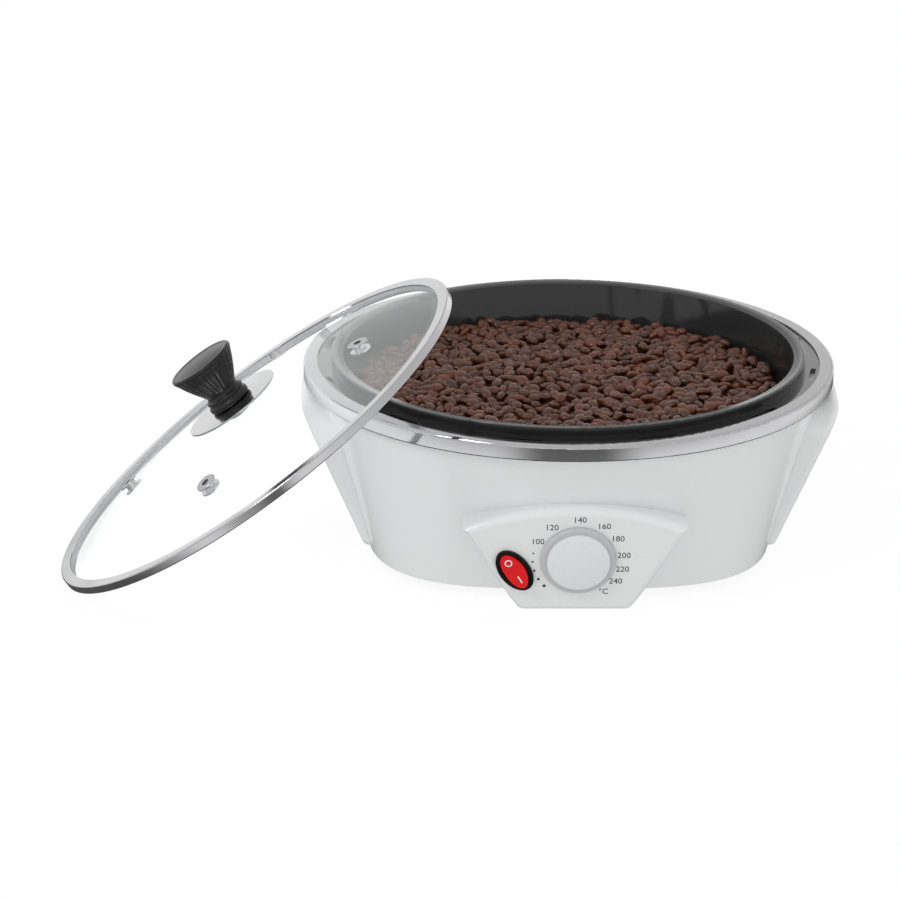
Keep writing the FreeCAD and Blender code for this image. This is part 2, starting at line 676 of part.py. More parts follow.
def side_grip(side):
    """Arched grip on one side: a bar over a finger recess, on two legs down to the foot."""
    outer = Part.Face(outline([(-GRIP_HALF, GRIP_FOOT_Z, GRIP_FOOT_CORNER_R),
                               (GRIP_HALF, GRIP_FOOT_Z, GRIP_FOOT_CORNER_R),
                               (GRIP_HALF, GRIP_TOP_Z, GRIP_CORNER_R),
                               (-GRIP_HALF, GRIP_TOP_Z, GRIP_CORNER_R)],
                              lambda y, z: V(0, y, z)))
    prism = outer.extrude(V(GRIP_BLANK_L, 0, 0))
    start_x = GRIP_FOOT_X - GRIP_LEAN * GRIP_FOOT_Z
    reach = GRIP_HALF * GRIP_ARC_REACH
    bow = GRIP_BULGE * GRIP_ARC_REACH ** 2
    end_x = start_x - bow + GRIP_BULGE
    edges = [Part.LineSegment(V(0, -reach, 0), V(end_x, -reach, 0)).toShape(),
             Part.Arc(V(end_x, -reach, 0), V(start_x + GRIP_BULGE, 0, 0), V(end_x, reach, 0)).toShape(),
             Part.LineSegment(V(end_x, reach, 0), V(0, reach, 0)).toShape(),
             Part.LineSegment(V(0, reach, 0), V(0, -reach, 0)).toShape()]
    lean = Part.Face(Part.Wire(edges)).extrude(V(GRIP_LEAN * RING_TOP_Z, 0, RING_TOP_Z))
    block = prism.common(lean)
    skin = max(block.Faces, key=lambda face: face.CenterOfMass.x)
    block = block.makeFillet(GRIP_EDGE_R, skin.Edges)
    slot = Part.Face(outline([(-GRIP_SLOT_HALF, -GRIP_FOOT_Z, 0),
                              (GRIP_SLOT_HALF, -GRIP_FOOT_Z, 0),
                              (GRIP_SLOT_HALF, GRIP_SLOT_TOP_Z, GRIP_SLOT_CORNER_R),
                              (-GRIP_SLOT_HALF, GRIP_SLOT_TOP_Z, GRIP_SLOT_CORNER_R)],
                             lambda y, z: V(0, y, z)))
    block = block.cut(slot.extrude(V(GRIP_BLANK_L, 0, 0)))
    if side < 0:
        block.rotate(V(0, 0, 0), Z_AXIS, 180)
    bowl = body_loft(BODY_BASE_Z, WALL_TOP_Z, 0)
    return one_solid(block.cut(bowl))


def switch_prism(margin, w_low, w_high):
    """Oval prism about the switch's centre, drawn in from the bezel's edge by a margin."""
    oval = Part.Ellipse(V(0, 0, w_low), BEZEL_HALF_L - margin, BEZEL_HALF_W - margin)
    return Part.Face(Part.Wire([oval.toShape()])).extrude(V(0, 0, w_high - w_low))


def switch_piece(shape):
    """Copy of a shape of the switch, set on the panel."""
    return on_panel(shape, SWITCH_U, SWITCH_V, SWITCH_TURN_DEG)


def switch_body():
    """Black bezel and can of the switch, with the pocket for the rocker."""
    bezel = switch_prism(0, 0, BEZEL_T)
    can = switch_prism(SWITCH_BODY_MARGIN, -HOUSING_WALL - SWITCH_BODY_T, BEZEL_T)
    pocket = switch_prism(SWITCH_POCKET_MARGIN, -SWITCH_POCKET_DEPTH, BEZEL_T + 1)
    return switch_piece(one_solid(bezel.fuse(can).cut(pocket)))


def rocker():
    """Red rocker with a shallow V top, tipped to its off position."""
    low_w = ROCKER_PROUD - ROCKER_THICK - ROCKER_SKIRT
    prism = switch_prism(ROCKER_MARGIN, low_w, ROCKER_PROUD + 2)
    half = BEZEL_HALF_L - ROCKER_MARGIN
    drop = half * math.tan(math.radians(ROCKER_TILT_DEG))
    valley = ROCKER_PROUD - drop
    roof = [V(-half - 1, -BEZEL_HALF_L, ROCKER_PROUD), V(0, -BEZEL_HALF_L, valley),
            V(half + 1, -BEZEL_HALF_L, ROCKER_PROUD), V(half + 1, -BEZEL_HALF_L, ROCKER_PROUD + 4),
            V(-half - 1, -BEZEL_HALF_L, ROCKER_PROUD + 4)]
    cutter = Part.Face(Part.makePolygon(roof + [roof[0]])).extrude(V(0, 2 * BEZEL_HALF_L, 0))
    body = one_solid(prism.cut(cutter))
    body.rotate(V(0, 0, ROCKER_PIVOT_W), Y_AXIS, -ROCKER_TILT_DEG)
    return switch_piece(body)


def thermostat():
    """Round thermostat behind the panel, with a blind bore for the dial's shaft."""
    back = -HOUSING_WALL - THERMOSTAT_T
    can = disc(THERMOSTAT_R, back, -HOUSING_WALL)
    bore = disc(DIAL_SHAFT_R + LOOSE_GAP, -DIAL_SHAFT_L - LOOSE_GAP, 0)
    return on_panel(one_solid(can.cut(bore)), DIAL_X)


def dial_shaft():
    """Shaft of the dial through the panel's wall."""
    return on_panel(disc(DIAL_SHAFT_R, -DIAL_SHAFT_L, LOOSE_GAP), DIAL_X)


def dial_skirt():
    """Grey outer ring of the dial."""
    top = LOOSE_GAP + DIAL_SKIRT_T
    ring = turned([(0, LOOSE_GAP, 0),
                   (DIAL_SKIRT_R, LOOSE_GAP, 0),
                   (DIAL_SKIRT_R, top, 1.6),
                   (0, top, 0)])
    return on_panel(ring, DIAL_X)


def dial_cap():
    """Pale domed face of the dial."""
    low = LOOSE_GAP + DIAL_SKIRT_T
    edge = low + DIAL_CAP_EDGE
    dome = DIAL_CAP_RISE - DIAL_CAP_EDGE
    sphere_r = (DIAL_CAP_R ** 2 + dome ** 2) / (2 * dome)
    sphere = Part.makeSphere(sphere_r, V(0, 0, edge + dome - sphere_r))
    cap = disc(DIAL_CAP_R, low, low + 2 * DIAL_CAP_RISE).common(sphere)
    return on_panel(one_solid(cap), DIAL_X)


def lid_frame():
    """Placement of the leaning lid: down the slope, along the ring, and out of its top."""
    side = math.radians(LID_SIDE_DEG)
    lean = math.radians(LID_LEAN_DEG)
    outward = V(math.cos(side), math.sin(side), 0)
    along = V(-math.sin(side), math.cos(side), 0)
    slope = outward * math.cos(lean) - Z_AXIS * math.sin(lean)
    normal = outward * math.sin(lean) + Z_AXIS * math.cos(lean)
    contact = outward * RING_R + Z_AXIS * RING_TOP_Z - normal * LID_RING_DIP
    centre_z = LID_FLOOR_GAP + LID_R * math.sin(lean)
    run = (contact.z - centre_z) / math.sin(lean)
    centre = contact + slope * run + along * LID_SHIFT
    matrix = FreeCAD.Matrix(slope.x, along.x, normal.x, centre.x,
                            slope.y, along.y, normal.y, centre.y,
                            slope.z, along.z, normal.z, centre.z,
                            0, 0, 0, 1)
    return FreeCAD.Placement(matrix)


def on_lid(shape):
    """Copy of a shape of the lid, set where the lid leans."""
    placed = shape.copy()
    placed.Placement = lid_frame().multiply(placed.Placement)
    return placed


def lid_rim():
    """Steel channel round the glass."""
    inner = LID_R - LID_RIM_W
    web = LID_R - LID_RIM_SHEET
    low = LID_RIM_SHEET
    high = LID_RIM_H - LID_RIM_SHEET
    return turned([(inner, 0, 0), (LID_R, 0, 0.7), (LID_R, LID_RIM_H, 0.7), (inner, LID_RIM_H, 0),
                   (inner, high, 0), (web, high, 0), (web, low, 0), (inner, low, 0)])


def dome_radius():
    """Radius of the sphere that the top of the glass lies on."""
    return (LID_FLAT_IN_R ** 2 + LID_DOME_RISE ** 2) / (2 * LID_DOME_RISE)


def glass_top_z():
    """Height of the flat edge of the glass, in the lid's own frame."""
    return (LID_RIM_H + LID_GLASS_T) / 2.0


def dome_z(radius):
    """Height of the top of the glass at a radius, in the lid's own frame."""
    apex = glass_top_z() + LID_DOME_RISE
    sphere = dome_radius()
    return apex - sphere + math.sqrt(sphere ** 2 - radius ** 2)


def lid_glass():
    """Shallow glass dome with a flat edge and holes for the knob and the vents."""
    edge_r = LID_R - LID_RIM_SHEET - 0.1
    half = LID_FLAT_IN_R / 2.0
    top = [V(LID_FLAT_IN_R, 0, dome_z(LID_FLAT_IN_R)), V(half, 0, dome_z(half)), V(0, 0, dome_z(0))]
    drop = V(0, 0, -LID_GLASS_T)
    low = [point + drop for point in top]
    edge_top = V(edge_r, 0, glass_top_z())
    edges = [Part.Arc(top[0], top[1], top[2]).toShape(),
             Part.LineSegment(top[2], low[2]).toShape(),
             Part.Arc(low[2], low[1], low[0]).toShape(),
             Part.LineSegment(low[0], edge_top + drop).toShape(),
             Part.LineSegment(edge_top + drop, edge_top).toShape(),
             Part.LineSegment(edge_top, top[0]).toShape()]
    glass = Part.Face(Part.Wire(edges)).revolve(V(0, 0, 0), Z_AXIS, 360)
    glass = glass.cut(disc(KNOB_SCREW_R + SEAT_GAP, 0, 2 * LID_DOME_RISE))
    for index in range(VENT_COUNT):
        hole = disc(VENT_BODY_R, -4 * LID_GLASS_T, 4 * LID_GLASS_T)
        glass = glass.cut(at_vent(hole, index))
    return one_solid(glass)


def at_vent(shape, index):
    """Copy of a shape built about Z, set square to the glass at one vent."""
    lean = math.degrees(math.asin(VENT_PITCH_R / dome_radius()))
    placed = shape.copy()
    placed.rotate(V(0, 0, 0), Y_AXIS, lean)
    placed.translate(V(VENT_PITCH_R, 0, dome_z(VENT_PITCH_R)))
    placed.rotate(V(0, 0, 0), Z_AXIS, VENT_FIRST_DEG + 360.0 * index / VENT_COUNT)
    return placed


def lid_vent(index):
    """Steel eyelet in the glass that lets steam out."""
    low = -LID_GLASS_T - VENT_FLANGE_T
    flange_z = -LID_GLASS_T
    body = turned([(VENT_HOLE_R, low, 0),
                   (VENT_FLANGE_R, low, 0),
                   (VENT_FLANGE_R, flange_z, 0),
                   (VENT_BODY_R, flange_z, 0),
                   (VENT_BODY_R, SEAT_GAP / 3, 0),
                   (VENT_FLANGE_R, SEAT_GAP / 3, 0),
                   (VENT_FLANGE_R, VENT_FLANGE_T, 0.4),
                   (VENT_HOLE_R, VENT_FLANGE_T, 0)])
    return at_vent(body, index)


def knob_flange():
    """Steel dish between the glass and the knob."""
    rim_z = dome_z(KNOB_FLANGE_R) + SEAT_GAP + KNOB_FLANGE_GAP
    top_z = dome_z(0) + KNOB_FLANGE_T
    bore = KNOB_SCREW_R + SEAT_GAP
    return turned([(bore, dome_z(0) + KNOB_FLANGE_GAP, 0),
                   (KNOB_FLANGE_R, rim_z, 0),
                   (KNOB_FLANGE_R, rim_z + KNOB_FLANGE_T, 0),
                   (bore, top_z, 0)])


def lid_knob():
    """Black moulded knob: a round foot, a narrow neck and a wide head."""
    base_z = dome_z(0) + KNOB_FLANGE_T
    body = turned([(0, base_z, 0),
                   (KNOB_FOOT_R, base_z, 0.8),
                   (KNOB_FOOT_R, base_z + 3.0, 1.5),
                   (KNOB_NECK_R, base_z + 7.0, 6.0),
                   (KNOB_TOP_R - 1.0, base_z + KNOB_H - 8.0, 6.0),
                   (KNOB_TOP_R, base_z + KNOB_H - 3.0, 2.0),
                   (KNOB_TOP_R - 3.0, base_z + KNOB_H, 2.0),
                   (0, base_z + KNOB_H + 1.5, 0)])
    return one_solid(body.cut(disc(KNOB_SCREW_R, base_z - 1, base_z + KNOB_H / 2)))


def knob_washer():
    """Soft washer under the glass."""
    low_z = dome_z(0) - LID_GLASS_T - KNOB_WASHER_T
    top_z = dome_z(KNOB_WASHER_R) - LID_GLASS_T
    bore = KNOB_SCREW_R + SEAT_GAP
    return turned([(bore, low_z, 0), (KNOB_WASHER_R, low_z, 0), (KNOB_WASHER_R, top_z, 0),
                   (bore, top_z, 0)])


def knob_screw():
    """Screw through washer, glass and flange into the knob."""
    head_z = dome_z(0) - LID_GLASS_T - KNOB_WASHER_T
    base_z = dome_z(0) + KNOB_FLANGE_T
    return turned([(0, head_z - 2.5, 0), (KNOB_SCREW_HEAD_R, head_z - 2.5, 1.2),
                   (KNOB_SCREW_HEAD_R, head_z, 0), (KNOB_SCREW_R, head_z, 0),
                   (KNOB_SCREW_R, base_z + KNOB_H / 2 - 1, 0), (0, base_z + KNOB_H / 2 - 1, 0)])


def all_parts():
    """Every node's name and shape."""
    parts = {
        "housing": housing(),
        "trim_ring": trim_ring(),
        "seat_ring": seat_ring(),
        "pan": pan(),
        "bean_charge": bean_charge(),
        "side_grip_right": side_grip(1),
        "side_grip_left": side_grip(-1),
        "shaft_bush": shaft_bush(),
        "heating_element": heating_element(),
        "heat_reflector": heat_reflector(),
        "reflector_posts": reflector_posts(),
        "motor_bracket": motor_bracket(),
        "gear_motor": gear_motor(),
        "base_plate": base_plate(),
        "power_gland": power_gland(),
        "terminal_block": terminal_block(),
        "thermostat": thermostat(),
        "switch_body": switch_body(),
        "drive_shaft": drive_shaft(),
        "stirrer_hub": stirrer_hub(),
        "stirrer_arm_a": stirrer_arm(20),
        "stirrer_arm_b": stirrer_arm(200),
        "dial_shaft": dial_shaft(),
        "dial_skirt": dial_skirt(),
        "dial_cap": dial_cap(),
        "rocker": rocker(),
        "lid_rim": on_lid(lid_rim()),
        "lid_glass": on_lid(lid_glass()),
        "lid_knob_flange": on_lid(knob_flange()),
        "lid_knob": on_lid(lid_knob()),
        "lid_knob_washer": on_lid(knob_washer()),
        "lid_knob_screw": on_lid(knob_screw()),
    }
    places = {"front_right": 315, "rear_right": 45, "rear_left": 135, "front_left": 225}
    for place, degrees in places.items():
        parts["foot_" + place] = rubber_foot(degrees)
    for index in range(VENT_COUNT):
        parts["lid_vent_%d" % (index + 1)] = on_lid(lid_vent(index))
    return parts


def main():
    """Build every piece and write one STEP file for each."""
    os.makedirs("parts", exist_ok=True)
    for name, shape in all_parts().items():
        shape.exportStep("parts/%s.step" % name)
        box = shape.BoundBox
        print("%-18s solids %d valid %s volume %.0f z %.2f to %.2f"
              % (name, len(shape.Solids), shape.isValid(), shape.Volume, box.ZMin, box.ZMax))


main()
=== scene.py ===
"""Looks of the home coffee bean roaster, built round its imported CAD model.

The CAD nodes stay where they are and get procedural finishes. New pieces stand for the heap of
beans and the lid's knob, and add the printed scale of the dial and the marks on the rocker. All
lengths are in metres, the origin lies on the table under the pan's axis, the panel faces -Y and
Z is up.
"""
import json
import logging
import math
from dataclasses import dataclass, field
from enum import Enum
from typing import Optional, Union

import bpy
import numpy as np
from mathutils import Matrix, Vector


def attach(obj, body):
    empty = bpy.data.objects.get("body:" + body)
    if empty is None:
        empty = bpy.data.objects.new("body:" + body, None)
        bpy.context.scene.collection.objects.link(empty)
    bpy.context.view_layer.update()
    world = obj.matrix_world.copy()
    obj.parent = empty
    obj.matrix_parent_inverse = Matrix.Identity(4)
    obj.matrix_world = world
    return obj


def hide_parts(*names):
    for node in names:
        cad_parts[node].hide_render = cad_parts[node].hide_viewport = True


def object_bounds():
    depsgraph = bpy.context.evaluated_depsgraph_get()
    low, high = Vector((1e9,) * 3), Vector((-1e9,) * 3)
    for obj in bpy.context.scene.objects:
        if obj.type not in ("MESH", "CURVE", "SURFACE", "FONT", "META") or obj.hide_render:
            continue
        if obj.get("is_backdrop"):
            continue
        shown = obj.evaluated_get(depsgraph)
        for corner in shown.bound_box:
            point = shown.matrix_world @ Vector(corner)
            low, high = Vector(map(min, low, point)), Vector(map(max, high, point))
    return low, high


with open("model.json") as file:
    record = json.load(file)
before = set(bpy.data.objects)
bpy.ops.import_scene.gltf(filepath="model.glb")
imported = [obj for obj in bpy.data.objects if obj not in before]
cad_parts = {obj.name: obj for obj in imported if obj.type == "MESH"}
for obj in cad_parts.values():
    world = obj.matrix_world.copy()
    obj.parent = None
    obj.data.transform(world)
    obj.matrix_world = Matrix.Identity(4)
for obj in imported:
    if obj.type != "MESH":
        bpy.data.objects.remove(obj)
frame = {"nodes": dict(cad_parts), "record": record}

LOG = logging.getLogger("roaster")
Colour = tuple[float, float, float]
Span = tuple[float, float]

CLOUD_SCALE = 22.0
HAIRLINE_SCALE = (30.0, 30.0, 2600.0)
HAIRLINE_SPAN = (0.60, 0.72)
HAIRLINE_CUT = 0.25
HAIRLINE_DULL = 0.05
HANDLED_SPAN = (0.45, 0.70)
CLOUD_SHARE = 0.7
MOTTLE_SCALE = 0.35
COAT_ROUGHNESS = 0.08


class Body(Enum):
    """The CAD bodies that new pieces ride on."""

    ROASTER = "roaster"
    ROCKER = "switch_rocker"
    LID = "lid"


class Slot(Enum):
    """The record's material slots."""

    SHELL_WHITE = "shell_white"
    TRIM_STEEL = "trim_steel"
    PLAIN_STEEL = "plain_steel"
    NONSTICK = "nonstick"
    BLACK_PLASTIC = "black_plastic"
    BEANS = "beans"
    BRONZE = "bronze"
    SHEET_ALUMINIUM = "sheet_aluminium"
    MOTOR_GREY = "motor_grey"
    RUBBER = "rubber"
    DIAL_GREY = "dial_grey"
    DIAL_PALE = "dial_pale"
    ROCKER_RED = "rocker_red"
    LID_GLASS = "lid_glass"
    TERMINAL_CREAM = "terminal_cream"


class Field:
    """A number, colour or vector that varies over a surface, with the usual arithmetic."""

    def __init__(self, shader: "Shader", socket: bpy.types.NodeSocket) -> None:
        """Keep the socket and the shader it belongs to."""
        self.shader = shader
        self.socket = socket

    def _math(self, operation: str, first: "Value", second: "Value") -> "Field":
        """One arithmetic node.

        Args:
            operation: the node's operation.
            first: first operand.
            second: second operand.

        Returns:
            The result as a new field.
        """
        return self.shader.node("Math", {0: first, 1: second}, operation=operation)

    def __add__(self, other: "Value") -> "Field":
        """Sum of this and another."""
        return self._math("ADD", self, other)

    def __sub__(self, other: "Value") -> "Field":
        """This less another."""
        return self._math("SUBTRACT", self, other)

    def __rsub__(self, other: "Value") -> "Field":
        """Another less this."""
        return self._math("SUBTRACT", other, self)

    def __mul__(self, other: "Value") -> "Field":
        """Product of this and another."""
        return self._math("MULTIPLY", self, other)

    def __pow__(self, other: "Value") -> "Field":
        """This to the power of another."""
        return self._math("POWER", self, other)

    def __abs__(self) -> "Field":
        """This without its sign."""
        return self._math("ABSOLUTE", self, 0.0)

    __radd__ = __add__
    __rmul__ = __mul__


Value = Union[Field, float, tuple]


class Shader:
    """A material with one Principled shader and the nodes that feed it."""

    def __init__(self, name: str) -> None:
        """Make the material and its Principled shader.

        Args:
            name: the material's name.
        """
        self.material = bpy.data.materials.new(name)
        self.material.use_nodes = True
        self.tree = self.material.node_tree
        self.tree.nodes.clear()
        self.principled = self.tree.nodes.new("ShaderNodeBsdfPrincipled")
        output = self.tree.nodes.new("ShaderNodeOutputMaterial")
        self.tree.links.new(self.principled.outputs["BSDF"], output.inputs["Surface"])

    def feed(self, target: bpy.types.NodeSocket, value: Value) -> None:
        """Link a field to a socket, or set a constant on it.

        Args:
            target: the input socket.
            value: a field, a number, a vector or a colour.
        """
        if isinstance(value, Field):
            self.tree.links.new(value.socket, target)
        elif isinstance(value, tuple) and len(value) == 3 and target.type == "RGBA":
            target.default_value = (*value, 1.0)
        else:
            target.default_value = value

    def node(self, kind: str, inputs: dict, output: Union[int, str] = 0,
             **settings: object) -> Field:
        """Add one node of any kind.

        Args:
            kind: the node's type without its prefix.
            inputs: input name or index to value.
            output: name or index of the output that is wanted.
            settings: the node's own properties.

        Returns:
            The wanted output as a field.
        """
        made = self.tree.nodes.new("ShaderNode" + kind)
        for key, value in settings.items():
            setattr(made, key, value)
        for key, value in inputs.items():
            self.feed(made.inputs[key], value)
        return Field(self, made.outputs[output])

    def split(self, vector: Field) -> tuple[Field, Field, Field]:
        """Take a vector apart.

        Args:
            vector: the vector.

        Returns:
            Its x, y and z.
        """
        first = self.node("SeparateXYZ", {"Vector": vector}, output="X")
        outputs = first.socket.node.outputs
        return first, Field(self, outputs["Y"]), Field(self, outputs["Z"])

    def surface(self, **inputs: Value) -> None:
        """Feed the Principled shader; an underscore in a name stands for a space.

        Args:
            inputs: input name to value.
        """
        for key, value in inputs.items():
            self.feed(self.principled.inputs[key.replace("_", " ")], value)


def noise(shader: Shader, at: Field, scale: float, detail: float = 3.0) -> Field:
    """Smooth noise from 0 to 1.

    Args:
        shader: the shader that gets the node.
        at: coordinates in metres.
        scale: features for each metre.
        detail: octaves.

    Returns:
        The noise.
    """
    return shader.node("TexNoise", {"Vector": at, "Scale": scale, "Detail": detail})


def step(value: Field, low: float, high: float) -> Field:
    """Smooth step from 0 at low to 1 at high.

    Args:
        value: what is compared.
        low: where the step starts.
        high: where it ends.

    Returns:
        The step.
    """
    limits = {"Value": value, "From Min": low, "From Max": high, "To Min": 0.0, "To Max": 1.0}
    return value.shader.node("MapRange", limits, interpolation_type="SMOOTHSTEP")


def blend(share: Field, first: Value, second: Value) -> Field:
    """Mix of two colours.

    Args:
        share: 0 gives the first, 1 the second.
        first: a colour.
        second: a colour.

    Returns:
        The mixed colour.
    """
    return share.shader.node("Mix", {0: share, 6: first, 7: second}, output=2, data_type="RGBA")


def sine(value: Field) -> Field:
    """Sine of a field in radians."""
    return value.shader.node("Math", {0: value}, operation="SINE")


def shaded(colour: Colour, share: float) -> Colour:
    """The colour made lighter or darker by a share."""
    return tuple(min(1.0, part * share) for part in colour)


@dataclass(frozen=True)
class Finish:
    """A surface finish: moulded or painted, with fine relief, smudges and fine scratches.

    The grain is counted for each metre, the depth of the relief is in metres, the smudge is the
    roughness that handling adds, and the spread is how far the colour strays either way.
    """

    name: str
    colour: Colour
    roughness: float
    metallic: float = 0.0
    coat: float = 0.0
    grain: float = 900.0
    depth: float = 4e-6
    smudge: float = 0.10
    spread: float = 0.06
    specular: float = 0.5

    def place(self, shader: Shader) -> Field:
        """Coordinates that the finish is worked out in."""
        return shader.node("TexCoord", {}, output="Object")

    def scratches(self, shader: Shader, at: Field) -> Field:
        """Hairlines that run round the object: noise that is stretched along the table."""
        drawn = shader.node("Mapping", {"Vector": at, "Scale": HAIRLINE_SCALE})
        return step(noise(shader, drawn, 1.0, 2.0), *HAIRLINE_SPAN)

    def relief(self, shader: Shader, at: Field) -> Field:
        """Height of the fine relief from 0 to 1: a soft grain with hairlines cut in."""
        return noise(shader, at, self.grain, 2.0) - self.scratches(shader, at) * HAIRLINE_CUT

    def tint(self, shader: Shader, at: Field, clouds: Field) -> Field:
        """Base colour: slow clouds of a slightly darker tone, and a fainter fine mottle.

        Args:
            shader: the shader that gets the nodes.
            at: coordinates in metres.
            clouds: slow noise from 0 to 1.

        Returns:
            The colour.
        """
        mottle = noise(shader, at, self.grain * MOTTLE_SCALE, 4.0)
        share = clouds * CLOUD_SHARE + mottle * (1.0 - CLOUD_SHARE)
        light, dark = shaded(self.colour, 1.0 + self.spread), shaded(self.colour, 1.0 - self.spread)
        return blend(share, light, dark)

    def gloss(self, shader: Shader, at: Field, clouds: Field) -> Field:
        """Roughness: the finish's own, more where it was handled and along the hairlines."""
        handled = step(clouds, *HANDLED_SPAN) * self.smudge
        return handled + self.scratches(shader, at) * HAIRLINE_DULL + self.roughness

    def extra(self, shader: Shader, at: Field) -> None:
        """Whatever a kind of finish adds to the shader."""

    def build(self) -> bpy.types.Material:
        """Make the material.

        Returns:
            The finished material.
        """
        shader = Shader(self.name)
        at = self.place(shader)
        clouds = noise(shader, at, CLOUD_SCALE, 5.0)
        bump = {"Strength": 1.0, "Distance": self.depth, "Height": self.relief(shader, at)}
        shader.surface(Base_Color=self.tint(shader, at, clouds),
                       Roughness=self.gloss(shader, at, clouds), Metallic=self.metallic,
                       Coat_Weight=self.coat, Coat_Roughness=COAT_ROUGHNESS,
                       Specular_IOR_Level=self.specular, Normal=shader.node("Bump", bump))
        self.extra(shader, at)
        return shader.material


@dataclass(frozen=True)
class TurnedMetal(Finish):
    """Metal with the fine rings that a lathe leaves round an axis."""

    turn: tuple = (0.0, 0.0, 0.0)
    shift: tuple = (0.0, 0.0, 0.0)
    rings: float = 2400.0

    def place(self, shader: Shader) -> Field:
        """Coordinates about the axis of turning."""
        here = shader.node("TexCoord", {}, output="Object")
        return shader.node("Mapping", {"Vector": here, "Rotation": self.turn,
                                       "Location": self.shift})

    def relief(self, shader: Shader, at: Field) -> Field:
        """Rings: noise over the distance from the axis and the height along it.

        Args:
            shader: the shader that gets the nodes.
            at: coordinates about the axis, in metres.

        Returns:
            Height from 0 to 1.
        """
        across, deep, along = shader.split(at)
        radius = (across * across + deep * deep) ** 0.5
        drawn = shader.node("CombineXYZ", {"X": radius * self.rings, "Y": along * self.rings})
        return noise(shader, drawn, 1.0, 3.0)


@dataclass(frozen=True)
class NonStick(Finish):
    """Dark non-stick coat with pale flecks, and a painted highlight along the rim.

    A tone is a share of the finish's colour, and a span is where a smooth step starts and ends.
    """

    cloud_tones: Span = (0.8, 1.35)
    rim_z: float = 1.0
    rim_highlight_grey: Colour = (0.13, 0.13, 0.13)
    rim_highlight_span: Span = (0.0008, 0.0002)
    fleck_scale: float = 650.0
    fleck_span: Span = (0.06, 0.16)
    fleck_share: float = 0.35
    fleck_tone: float = 5.0

    def tint(self, shader: Shader, at: Field, clouds: Field) -> Field:
        """Clouded dark coat with small pale flecks at scattered points, and a painted highlight
        along the rim.

        Args:
            shader: the shader that gets the nodes.
            at: coordinates in metres.
            clouds: slow noise from 0 to 1.

        Returns:
            The colour.
        """
        cells = shader.node("TexVoronoi", {"Vector": at, "Scale": self.fleck_scale},
                            output="Distance")
        flecks = (1.0 - step(cells, *self.fleck_span)) * self.fleck_share
        dark, pale = (shaded(self.colour, tone) for tone in self.cloud_tones)
        coat = blend(flecks, blend(clouds, dark, pale), shaded(self.colour, self.fleck_tone))
        # painted highlight: the top of the pan's rim is coloured a paler grey where it catches the
        # light
        below_start, below_end = self.rim_highlight_span
        rim_highlight = step(shader.split(at)[2], self.rim_z - below_start, self.rim_z - below_end)
        return blend(rim_highlight, coat, self.rim_highlight_grey)


@dataclass(frozen=True)
class ClearGlass(Finish):
    """Clear glass that veils what is behind it with a painted glow, more so at a glance."""

    veil: float = 0.07
    glance: float = 0.12
    wipe: float = 0.03
    wipe_scale: float = 14.0
    wipe_span: Span = (0.5, 0.8)
    painted_glow: float = 0.65

    def extra(self, shader: Shader, at: Field) -> None:
        """Opacity: a thin even veil, more at a glancing angle and where it was wiped, with a
        painted glow of the glass's colour over it that stands in for reflected light.

        Args:
            shader: the shader that gets the nodes.
            at: coordinates in metres.
        """
        facing = shader.node("LayerWeight", {"Blend": 0.5}, output="Facing")
        wiped = step(noise(shader, at, self.wipe_scale, 4.0), *self.wipe_span) * self.wipe
        # painted glow: the glass emits its own colour wherever it is opaque, most at a glancing
        # angle, in place of reflected light
        shader.surface(Alpha=facing ** 3.0 * self.glance + wiped + self.veil,
                       Emission_Color=self.colour, Emission_Strength=self.painted_glow)


